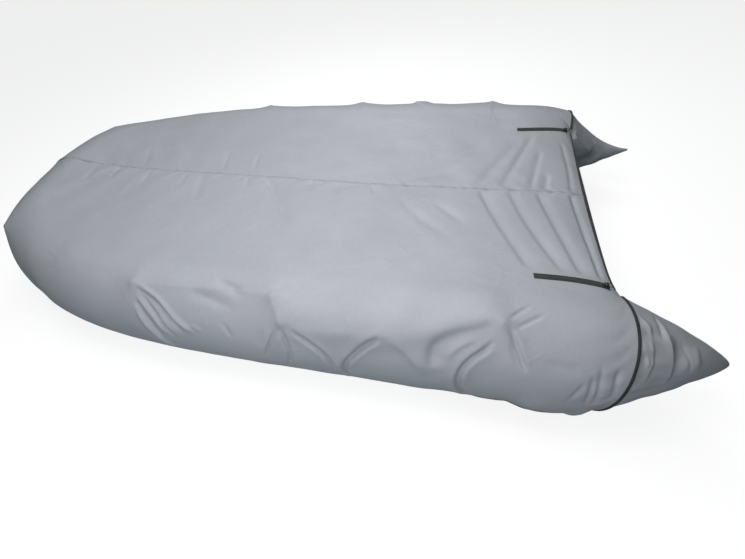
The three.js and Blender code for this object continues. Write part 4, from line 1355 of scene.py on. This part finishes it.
@dataclass(frozen=True)
class CoatedCloth:
    """Silver-grey polyester with a thin coating: a fine weave under it, dust and handling creases."""

    colour: Colour = (0.405, 0.422, 0.462)
    dusty: Colour = (0.372, 0.385, 0.412)
    bleached: Colour = (0.455, 0.472, 0.510)
    speck: Colour = (0.20, 0.20, 0.20)
    bleaching: float = 0.55
    dusting: float = 0.5
    specking: float = 0.07
    roughness: float = 0.47
    dust_roughness: float = 0.12
    weave_pitch: float = 0.0013
    weave_height: float = 0.00010
    slub_share: float = 0.4
    crease_height: float = 0.0009
    grain_height: float = 0.0003

    def build(self, effects: Effects) -> bpy.types.Material:
        """Makes the material."""
        mix = Recipe("coated_cloth")
        weave = mix.use(effects.weave, Place=mix.on_cloth, Pitch=self.weave_pitch)
        dust = mix.use(effects.soil, Place=mix.place, Size=0.34, Spread=0.16)[0]
        fading = mix.use(effects.soil, Place=mix.place, Size=0.95, Spread=0.22)[0]
        specks = mix.use(effects.soil, Place=mix.place, Size=0.012, Spread=0.10)[0]
        creases = mix.use(effects.crumple, Place=mix.on_cloth, Size=0.085)[0]
        tone = mix.blend(mix.times(fading, self.bleaching), self.colour, self.bleached)
        tone = mix.blend(mix.times(dust, self.dusting), tone, self.dusty)
        tone = mix.blend(mix.times(specks, self.specking), tone, self.speck)
        threads = mix.plus(weave["Height"], mix.times(weave["Slubs"], self.slub_share))
        height = mix.plus(mix.times(threads, self.weave_height), mix.times(creases, self.crease_height))
        grain = mix.noise(mix.place, scale=55.0, detail=3.0)
        height = mix.plus(height, mix.times(grain, self.grain_height))
        rough = mix.plus(self.roughness, mix.times(dust, self.dust_roughness))
        return mix.shade(Base_Color=tone, Roughness=rough, Normal=mix.bump(height, strength=0.7))


@dataclass(frozen=True)
class WovenTape:
    """Ribbed polyester tape, dyed black and a little faded on its ribs."""

    name: str
    colour: Colour = (0.012, 0.012, 0.014)
    worn: Colour = (0.045, 0.046, 0.050)
    wear: float = 0.7
    rib_pitch: float = 0.0015
    rib_height: float = 0.00022
    fluff_share: float = 0.5
    roughness: float = 0.78
    wear_polish: float = 0.1
    sheen: float = 0.15

    def build(self, effects: Effects) -> bpy.types.Material:
        """Makes the material."""
        mix = Recipe(self.name)
        ribs = mix.use(effects.ribs, Place=mix.on_cloth, Pitch=self.rib_pitch)[0]
        worn = mix.use(effects.soil, Place=mix.place, Size=0.05, Spread=0.15)[0]
        tone = mix.blend(mix.times(worn, mix.times(ribs, self.wear)), self.colour, self.worn)
        rough = mix.maths("SUBTRACT", self.roughness, mix.times(worn, self.wear_polish))
        fluff = mix.times(mix.noise(mix.place, scale=900.0, detail=2.0), self.fluff_share)
        normal = mix.bump(mix.times(mix.plus(ribs, fluff), self.rib_height), strength=0.8)
        return mix.shade(Base_Color=tone, Roughness=rough, Normal=normal, Sheen_Weight=self.sheen)


@dataclass(frozen=True)
class MouldedOrDrawn:
    """A plain hard or drawn finish with a fine grain and worn high spots: teeth, thread, metal."""

    name: str
    colour: Colour
    worn: Colour
    roughness: float
    grain_scale: float = 600.0
    grain_height: float = 0.00005
    metallic: float = 0.0
    wear: float = 0.8
    wear_roughness: float = 0.15

    def build(self, effects: Effects) -> bpy.types.Material:
        """Makes the material."""
        mix = Recipe(self.name)
        worn = mix.use(effects.soil, Place=mix.place, Size=0.006, Spread=0.12)[0]
        tone = mix.blend(mix.times(worn, self.wear), self.colour, self.worn)
        rough = mix.plus(self.roughness, mix.times(worn, self.wear_roughness))
        grain = mix.times(mix.noise(mix.place, self.grain_scale, detail=3.0), self.grain_height)
        normal = mix.bump(grain, strength=0.6)
        return mix.shade(Base_Color=tone, Roughness=rough, Normal=normal, Metallic=self.metallic)


class Finishes:
    """All finishes of the cover, by what they are on."""

    def __init__(self) -> None:
        """Makes each material once."""
        effects = Effects()
        recipes = {
            Finish.CLOTH: CoatedCloth(),
            Finish.BINDING: WovenTape("black_binding"),
            Finish.ZIP_TAPE: WovenTape(
                "zip_tape", colour=(0.014, 0.015, 0.014), worn=(0.05, 0.052, 0.047), rib_pitch=0.0011
            ),
            Finish.TEETH: MouldedOrDrawn("zip_teeth", (0.052, 0.057, 0.048), (0.095, 0.10, 0.088), 0.42),
            # Dark grey thread: real stitching, and its dark colour also paints the thin line of shade in
            # the centre seam's fold gap.
            Finish.GREY_THREAD: MouldedOrDrawn(
                "grey_thread", (0.14, 0.145, 0.16), (0.10, 0.105, 0.115), 0.75,
                grain_scale=1800.0, grain_height=0.0002,
            ),
            Finish.BLACK_THREAD: MouldedOrDrawn(
                "black_thread", (0.020, 0.020, 0.022), (0.05, 0.05, 0.053), 0.7,
                grain_scale=1800.0, grain_height=0.0002,
            ),
            Finish.SLIDER: MouldedOrDrawn(
                "enamelled_slider", (0.016, 0.017, 0.018), (0.16, 0.16, 0.155), 0.34,
                grain_scale=300.0, grain_height=0.00006, metallic=0.85,
            ),
        }
        self.materials = {finish: recipe.build(effects) for finish, recipe in recipes.items()}

    def dress(self, piece: Piece, finish: Finish) -> None:
        """Gives a whole piece one finish."""
        cover_with(piece, self.materials[finish])


def cover_with(piece: Piece, material: bpy.types.Material) -> None:
    """Makes one material the only one of a piece."""
    piece.data.materials.clear()
    piece.data.materials.append(material)


# ---- Stage --------------------------------------------------------------------------------------


@dataclass(frozen=True)
class SoftBox:
    """A square area light that faces a point on the cover."""

    name: str
    place: Point
    size: float
    energy: float
    aim: Point = (0.0, 0.0, -0.1)

    def hang(self) -> None:
        """Adds the light to the scene."""
        light = bpy.data.lights.new(self.name, "AREA")
        light.shape, light.size, light.energy = "SQUARE", self.size, self.energy
        lamp = bpy.data.objects.new(self.name, light)
        bpy.context.scene.collection.objects.link(lamp)
        lamp.location = self.place
        lamp.rotation_mode = "QUATERNION"
        lamp.rotation_quaternion = (Vector(self.aim) - Vector(self.place)).to_track_quat("-Z", "Y")


@dataclass(frozen=True)
class Studio:
    """A plain pale floor, soft lights and the camera."""

    eye: Point = (0.6901, -1.4808, 1.0018)
    heading: float = 110.353
    pitch: float = -46.954
    roll: float = 9.454
    focal_share: float = 400 / 745
    shift: tuple[float, float] = (0.0436, 0.0049)
    sensor: float = 36.0
    clip: tuple[float, float] = (0.05, 200.0)
    floor_half: float = 40.0
    floor_gap: float = 0.0120
    floor_colour: Colour = (0.30, 0.30, 0.303)
    floor_mottle: Colour = (0.22, 0.22, 0.22)
    floor_mottling: float = 0.03
    floor_return: Colour = (0.22, 0.31, 0.34)
    floor_glow: float = 0.84
    sky_colour: Colour = (0.80, 0.94, 1.0)
    sky: float = 0.068
    soft_boxes: tuple[SoftBox, ...] = (
        SoftBox("over_middle", (-0.10, -0.30, 2.1), 1.6, 28.5),
        SoftBox("port_bow", (-0.7, -2.5, 0.9), 1.4, 3.0),
        SoftBox("port_stern", (0.5, -2.4, 0.8), 1.4, 13.0),
        SoftBox("port_low", (-0.4, -2.8, 0.6), 1.6, 4.6),
        SoftBox("near_stern", (0.75, -0.9, 1.2), 0.8, 4.6),
        SoftBox("over_starboard", (0.2, 1.8, 2.2), 1.6, 34.0),
    )

    def camera(self) -> None:
        """Puts the camera at its eye, turned by heading, pitch and roll, and makes it the scene's."""
        heading, pitch, roll = np.radians([self.heading, self.pitch, self.roll])
        level = np.cos(pitch)
        ahead = np.array([np.cos(heading) * level, np.sin(heading) * level, np.sin(pitch)])
        right = unit(np.cross(ahead, UP))
        down = np.cross(ahead, right)
        right, down = np.cos(roll) * right + np.sin(roll) * down, np.cos(roll) * down - np.sin(roll) * right
        turn = np.eye(4)
        turn[:3, :3] = np.stack([right, -down, -ahead], axis=1)
        turn[:3, 3] = self.eye
        lens = bpy.data.cameras.new("camera")
        lens.sensor_width = self.sensor
        lens.lens = self.sensor * self.focal_share
        lens.shift_x, lens.shift_y = self.shift
        lens.clip_start, lens.clip_end = self.clip
        seen = bpy.data.objects.new("camera", lens)
        bpy.context.scene.collection.objects.link(seen)
        seen.matrix_world = Matrix(turn.tolist())
        bpy.context.scene.camera = seen

    def floor(self, height: float) -> None:
        """Lays a wide flat floor of matt pale card at a height.

        It looks paler than the light that it throws back up, as a floor does under a boat whose own
        shade falls on it, and so the undersides of the tubes stay in shade.
        """
        corners = self.floor_half * np.array([[-1, -1, 0], [1, -1, 0], [1, 1, 0], [-1, 1, 0]]) + height * UP
        floor = new_mesh_object("floor", corners, [np.arange(4)[None]])
        mix = Recipe("pale_floor")
        seen = mix.add("LightPath", {})["Is Camera Ray"]
        mottle = mix.times(mix.noise(mix.place, scale=1.5, detail=3.0), self.floor_mottling)
        tone = mix.blend(mottle, self.floor_colour, self.floor_mottle)
        cover_with(floor, mix.shade(
            Base_Color=mix.blend(seen, self.floor_return, tone),
            Emission_Color=(1.0, 1.0, 1.0, 1.0),
            Emission_Strength=mix.times(seen, self.floor_glow),
            Roughness=0.9,
            Specular_IOR_Level=0.1,
        ))

    def lights(self) -> None:
        """Hangs the soft boxes in an even pale surround."""
        for box in self.soft_boxes:
            box.hang()
        world = bpy.data.worlds.new("surround")
        world.use_nodes = True
        surround = world.node_tree.nodes["Background"].inputs
        surround["Color"].default_value = (*self.sky_colour, 1.0)
        surround["Strength"].default_value = self.sky
        bpy.context.scene.world = world
        bpy.context.scene.view_settings.view_transform = "Standard"


# ---- The cover ----------------------------------------------------------------------------------

HEM_PORT: Table = (
    (0.000, 150), (0.080, 132), (0.160, 118), (0.290, 115), (0.440, 134),
    (0.650, 154), (1.000, 164), (1.500, 166), (2.800, 160),
)
HEM_STARBOARD: Table = ((0.000, 163), (0.200, 160), (0.700, 165), (1.500, 162), (2.800, 160))

CREASE, PINCH = FoldShape.CREASE, FoldShape.PINCH

# Each fold is its height, its width and its route, with its shape, the share of the route that fades
# at each end, and its lean.
PORT_FOLDS = (
    # the boat's fittings and the lifeline between them, under the cloth
    Fold(0.014, 0.045, ((1.613, 0.116),), CREASE),
    Fold(0.014, 0.040, ((1.071, 0.109),), CREASE),
    Fold(0.013, 0.050, ((0.689, 0.190),), CREASE),
    Fold(0.014, 0.045, ((0.341, 0.114),), CREASE),
    Fold(0.010, 0.016, ((1.080, 0.095), (1.061, 0.120), (1.043, 0.160), (1.018, 0.212)), CREASE, 0.2, 3.0),
    Fold(0.006, 0.024, ((1.640, 0.120), (1.406, 0.108), (1.210, 0.096), (1.040, 0.108)), CREASE, 0.08, 3.0),
    Fold(0.017, 0.042, fade=0.12, lean=2.2, route=(
        (1.060, 0.165), (0.980, 0.190), (0.850, 0.192), (0.689, 0.182), (0.518, 0.150), (0.300, 0.105),
    )),
    # drawn from fitting 1
    Fold(0.009, 0.010, fade=0.2, route=(
        (1.604, 0.118), (1.536, 0.141), (1.474, 0.174), (1.409, 0.241), (1.347, 0.278),
    )),
    Fold(-0.014, 0.008, route=(
        (1.595, 0.127), (1.536, 0.155), (1.489, 0.180), (1.424, 0.252), (1.399, 0.283),
    )),
    Fold(0.006, 0.008, ((1.505, 0.202), (1.477, 0.241), (1.440, 0.283), (1.424, 0.299)), fade=0.4),
    Fold(-0.014, 0.009, ((1.586, 0.141), (1.542, 0.185), (1.502, 0.229), (1.440, 0.310))),
    Fold(0.008, 0.009, ((1.589, 0.149), (1.551, 0.190), (1.520, 0.218), (1.468, 0.302))),
    Fold(-0.011, 0.009, ((1.595, 0.168), (1.564, 0.221), (1.530, 0.268), (1.499, 0.323))),
    Fold(0.009, 0.011, route=(
        (1.592, 0.195), (1.576, 0.232), (1.554, 0.273), (1.496, 0.359), (1.460, 0.400),
    )),
    Fold(-0.008, 0.018, ((1.297, 0.065), (1.238, 0.085), (1.160, 0.114)), fade=0.4),
    Fold(-0.009, 0.018, ((1.400, 0.112), (1.294, 0.136), (1.190, 0.162)), fade=0.4),
    Fold(0.004, 0.009, ((1.370, 0.236), (1.322, 0.264)), fade=0.4),
    Fold(-0.004, 0.009, ((1.245, 0.205), (1.205, 0.270)), fade=0.4),
    # drawn from fitting 2
    Fold(0.008, 0.022, ((1.040, 0.206), (1.061, 0.256), (1.095, 0.346)), PINCH, 0.3),
    Fold(0.009, 0.024, ((1.020, 0.212), (1.008, 0.258), (0.998, 0.314), (1.012, 0.380)), PINCH, 0.2),
    Fold(0.009, 0.024, shape=PINCH, fade=0.2, route=(
        (0.990, 0.207), (0.931, 0.243), (0.881, 0.281), (0.850, 0.337), (0.846, 0.390),
    )),
    Fold(-0.004, 0.010, ((1.088, 0.210), (1.118, 0.300)), fade=0.4),
    # drawn from fitting 3
    Fold(0.012, 0.028, shape=PINCH, fade=0.12, route=(
        (0.692, 0.196), (0.742, 0.232), (0.776, 0.271), (0.810, 0.320), (0.812, 0.380), (0.780, 0.430),
    )),
    Fold(0.008, 0.014, fade=0.3, lean=2.5, route=(
        (0.680, 0.194), (0.624, 0.220), (0.577, 0.268), (0.543, 0.325),
    )),
    # drawn from fitting 4
    Fold(-0.012, 0.016, fade=0.15, lean=2.2, route=(
        (0.350, 0.122), (0.404, 0.140), (0.481, 0.167), (0.520, 0.192), (0.536, 0.225), (0.524, 0.280),
    )),
    Fold(0.006, 0.012, ((0.390, 0.160), (0.440, 0.180), (0.480, 0.215), (0.496, 0.260)), fade=0.4),
    Fold(0.011, 0.026, shape=PINCH, fade=0.15, route=(
        (0.362, 0.168), (0.385, 0.199), (0.413, 0.224), (0.440, 0.260), (0.452, 0.310), (0.440, 0.370),
        (0.400, 0.440),
    )),
    Fold(0.008, 0.022, ((0.329, 0.123), (0.311, 0.152), (0.291, 0.197), (0.264, 0.255)), PINCH, 0.3),
    Fold(-0.006, 0.007, ((0.325, 0.150), (0.303, 0.203), (0.280, 0.255)), fade=0.4),
    Fold(0.0042, 0.018, ((0.333, 0.108), (0.292, 0.071), (0.260, 0.046)), PINCH, 0.35),
    Fold(0.0036, 0.018, ((0.312, 0.130), (0.270, 0.101), (0.225, 0.073)), PINCH, 0.35),
    Fold(-0.005, 0.034, ((0.640, 0.138), (0.472, 0.098)), fade=0.4),
    Fold(-0.004, 0.018, ((0.240, 0.210), (0.171, 0.222), (0.100, 0.232)), fade=0.4),
    # radiating from the centre seam over the top
    Fold(-0.0040, 0.014, ((1.778, -0.600), (1.720, -0.480), (1.660, -0.370)), fade=0.35, lean=2.0),
    Fold(-0.0070, 0.012, ((1.384, -0.610), (1.285, -0.478), (1.129, -0.263)), fade=0.25, lean=2.5),
    Fold(-0.0040, 0.010, ((1.492, -0.610), (1.445, -0.510)), fade=0.4, lean=2.0),
    Fold(-0.0040, 0.010, ((1.151, -0.610), (1.120, -0.505)), fade=0.4, lean=2.0),
    Fold(-0.0040, 0.010, ((1.030, -0.610), (0.998, -0.505)), fade=0.4, lean=2.0),
    Fold(-0.0040, 0.010, ((0.860, -0.610), (0.832, -0.505)), fade=0.4, lean=2.0),
    Fold(-0.0040, 0.016, ((2.752, -0.111), (2.560, -0.160), (2.480, -0.175)), fade=0.4),
    Fold(-0.0045, 0.014, ((2.615, -0.300), (2.364, -0.322)), fade=0.4),
    Fold(-0.0045, 0.014, ((2.221, -0.520), (2.090, -0.400)), fade=0.4),
    Fold(-0.0045, 0.014, ((1.896, -0.590), (1.830, -0.430)), fade=0.4),
    Fold(-0.0060, 0.011, fade=0.15, lean=2.6, route=(
        (0.413, -0.620), (0.376, -0.480), (0.310, -0.283), (0.248, -0.105),
    )),
    Fold(-0.0058, 0.010, fade=0.15, lean=2.6, route=(
        (0.298, -0.620), (0.261, -0.446), (0.208, -0.272), (0.145, -0.105),
    )),
    Fold(-0.0066, 0.010, fade=0.12, lean=2.6, route=(
        (0.190, -0.620), (0.162, -0.446), (0.122, -0.250), (0.088, -0.100),
    )),
    Fold(-0.0080, 0.008, fade=0.10, lean=1.6, route=(
        (0.064, -0.640), (0.053, -0.420), (0.044, -0.286), (0.034, -0.070),
    )),
    Fold(-0.0040, 0.018, ((0.600, -0.520), (0.559, -0.465), (0.450, -0.340)), fade=0.4),
    Fold(-0.0040, 0.022, ((0.782, -0.600), (0.652, -0.393), (0.472, -0.223)), fade=0.4),
    # gathered at the stern corner, where the slack hangs below the hem's binding
    Fold(0.015, 0.070, ((0.290, 0.410), (0.200, 0.425), (0.100, 0.435), (0.010, 0.440))),
    Fold(0.007, 0.045, ((0.110, 0.430), (0.070, 0.440), (0.030, 0.440)), fade=0.4),
    Fold(-0.006, 0.007, ((0.086, 0.182), (0.074, 0.241), (0.058, 0.345)), fade=0.35),
    Fold(-0.006, 0.007, ((0.098, 0.220), (0.092, 0.250), (0.083, 0.340)), fade=0.35),
    Fold(-0.006, 0.007, ((0.042, 0.200), (0.034, 0.272), (0.016, 0.345)), fade=0.35),
    Fold(-0.004, 0.007, ((0.107, 0.245), (0.121, 0.291), (0.140, 0.350)), fade=0.4),
    # the pointed corner of the bow, and the hollows beside it
    Fold(0.030, 0.055, ((2.405, 0.190),), CREASE),
    Fold(-0.009, 0.110, ((2.620, 0.150),)),
    Fold(-0.010, 0.100, ((2.200, 0.310),)),
)
STARBOARD_FOLDS = (
    Fold(0.014, 0.042, ((1.600, 0.116),), CREASE),
    Fold(0.013, 0.040, ((1.050, 0.130),), CREASE),
    Fold(0.016, 0.050, ((0.740, 0.110), (0.690, 0.150)), CREASE, 0.02),
    Fold(0.014, 0.042, ((0.345, 0.116),), CREASE),
    Fold(0.008, 0.024, ((1.600, 0.116), (1.320, 0.138), (1.050, 0.130)), CREASE, 0.02, 3.0),
    Fold(0.010, 0.030, ((1.050, 0.130), (0.690, 0.150), (0.345, 0.116)), CREASE, 0.02, 2.8),
    Fold(0.009, 0.026, ((1.580, 0.150), (1.490, 0.230), (1.440, 0.330)), PINCH, 0.3),
    Fold(0.009, 0.026, ((1.600, 0.160), (1.540, 0.240), (1.500, 0.340)), PINCH, 0.3),
    Fold(0.009, 0.026, ((1.060, 0.170), (1.110, 0.250), (1.130, 0.350)), PINCH, 0.3),
    Fold(0.008, 0.020, ((1.040, 0.170), (1.060, 0.260), (1.075, 0.360)), fade=0.3),
    Fold(0.010, 0.028, ((0.700, 0.190), (0.780, 0.260), (0.800, 0.360)), PINCH, 0.3),
    Fold(0.008, 0.018, ((0.680, 0.190), (0.735, 0.280), (0.745, 0.380)), fade=0.3),
    Fold(0.010, 0.026, ((0.380, 0.150), (0.470, 0.230), (0.500, 0.330)), PINCH, 0.3),
    Fold(0.008, 0.017, ((0.350, 0.150), (0.420, 0.250), (0.440, 0.350)), fade=0.3),
    Fold(-0.0062, 0.016, ((0.175, -0.180), (0.242, -0.363), (0.330, -0.600)), fade=0.2),
    Fold(-0.0055, 0.009, ((0.150, -0.300), (0.183, -0.457), (0.212, -0.610)), fade=0.2, lean=2.0),
    Fold(-0.0060, 0.009, ((0.137, -0.469), (0.157, -0.620)), fade=0.3, lean=2.0),
    Fold(-0.0045, 0.009, ((0.058, -0.220), (0.050, -0.425), (0.058, -0.640)), fade=0.12),
    Fold(-0.0050, 0.020, ((0.230, -0.230), (0.320, -0.380), (0.431, -0.600)), fade=0.3),
    Fold(-0.0050, 0.030, ((0.360, -0.230), (0.480, -0.350), (0.600, -0.440)), fade=0.35),
    Fold(-0.0035, 0.024, ((0.480, -0.460), (0.633, -0.530), (0.790, -0.590)), fade=0.3),
    Fold(-0.0035, 0.018, ((2.253, -0.238), (2.302, -0.490)), fade=0.4),
    Fold(-0.0040, 0.012, ((1.685, -0.387), (1.657, -0.580)), fade=0.4),
    Fold(-0.0040, 0.012, ((1.492, -0.404), (1.471, -0.580)), fade=0.4),
    Fold(0.012, 0.060, ((2.450, 0.120),), CREASE),
)

# Round the port pocket: the share of its length, and the turn from its top.
PORT_POCKET_FOLDS = (
    Fold(0.010, 0.018, shape=CREASE, fade=0.3, lean=3.0, route=(
        (0.290, -0.030), (0.266, 0.025), (0.297, 0.069), (0.324, 0.106), (0.337, 0.149), (0.330, 0.200),
    )),
    Fold(-0.012, 0.075, ((0.415, 0.000), (0.410, 0.060), (0.440, 0.160)), fade=0.4),
    Fold(0.0045, 0.016, ((0.020, -0.015), (0.090, 0.024), (0.140, 0.055)), fade=0.3, lean=0.5),
    Fold(0.0045, 0.014, fade=0.3, lean=3.0, route=(
        (0.080, 0.060), (0.125, 0.089), (0.134, 0.118), (0.118, 0.175),
    )),
    Fold(0.0045, 0.014, ((0.015, 0.075), (0.082, 0.103), (0.107, 0.135)), fade=0.3),
    Fold(-0.006, 0.020, ((0.252, -0.040), (0.228, 0.017), (0.235, 0.050)), fade=0.3),
    Fold(-0.0035, 0.016, ((0.440, 0.030), (0.524, 0.099), (0.544, 0.170)), CREASE, 0.3),
    Fold(0.003, 0.030, ((0.569, 0.020), (0.606, 0.150)), fade=0.35),
)
# Round the starboard pocket, whose slack hangs in behind the tube.
STARBOARD_POCKET_FOLDS = (
    Fold(0.019, 0.030, ((0.010, -0.110), (0.140, -0.130), (0.300, -0.160), (0.480, -0.205)), CREASE, 0.15),
    Fold(-0.026, 0.085, ((0.080, -0.300), (0.300, -0.310), (0.640, -0.300))),
)


@dataclass
class DinghyCover:
    """The whole cover: two half panels, their trim, the centre seam, the pockets and the zips."""

    finishes: Finishes
    boat: BoatForm = field(default_factory=BoatForm)

    def __post_init__(self) -> None:
        """Sets out the two halves and their pockets."""
        port = HalfSheet(
            Side.PORT, self.boat, stern_taper=0.018, corner_angle=-29.0, corner_forward=0.012,
            hem=HEM_PORT, folds=PORT_FOLDS, seed=3,
        )
        starboard = HalfSheet(
            Side.STARBOARD, self.boat, stern_taper=0.025, corner_angle=-34.0, corner_forward=0.0,
            hem=HEM_STARBOARD, folds=STARBOARD_FOLDS, seed=43,
        )
        self.port = HalfPanel(port, ZipCourse(front_offset=0.512, stern_offset=0.518))
        self.starboard = HalfPanel(starboard, ZipCourse(front_offset=0.450, stern_offset=0.484))
        self.pockets = (
            Pocket(
                port, length=0.327, lift=0.006, wasting_top=0.77, wasting_bottom=0.89,
                folds=PORT_POCKET_FOLDS,
            ),
            Pocket(
                starboard, length=0.313, lift=0.0, wasting_top=1.75, wasting_bottom=0.98,
                folds=STARBOARD_POCKET_FOLDS,
            ),
        )

    def build(self) -> None:
        """Makes and dresses every piece."""
        for panel in (self.port, self.starboard):
            piece = panel.build()
            self.finishes.dress(piece, Finish.CLOTH)
            flat, area = panel.cut()
            log_cut(piece, flat, area)
        for pocket in self.pockets:
            piece = pocket.build()
            self.finishes.dress(piece, Finish.CLOTH)
            flat, area = pocket.cut()
            log_cut(piece, flat, area)
        bindings, seam = Bindings(self.port, self.starboard), CentreSeam(self.starboard)
        for part in (bindings, seam, StitchedZip(self.port), StitchedZip(self.starboard)):
            for piece, finish in part.build():
                self.finishes.dress(piece, finish)
        for name in ("zip_slider_port", "zip_slider_starboard", "zip_pull_port", "zip_pull_starboard"):
            self.finishes.dress(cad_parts[name], Finish.SLIDER)


def log_cut(piece: Piece, flat: tuple[float, float], area: float) -> None:
    """Reports the size that a sheet was cut to."""
    log.info("%s: cut %.3f x %.3f m, %.3f m2", piece.name, *flat, area)


def main() -> None:
    """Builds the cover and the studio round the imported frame."""
    logging.basicConfig(level=logging.INFO, format="%(message)s")
    DinghyCover(Finishes()).build()
    studio = Studio()
    studio.floor(CAD_BOX[0][2] - studio.floor_gap)
    studio.lights()
    studio.camera()


if __name__ == "__main__":
    main()
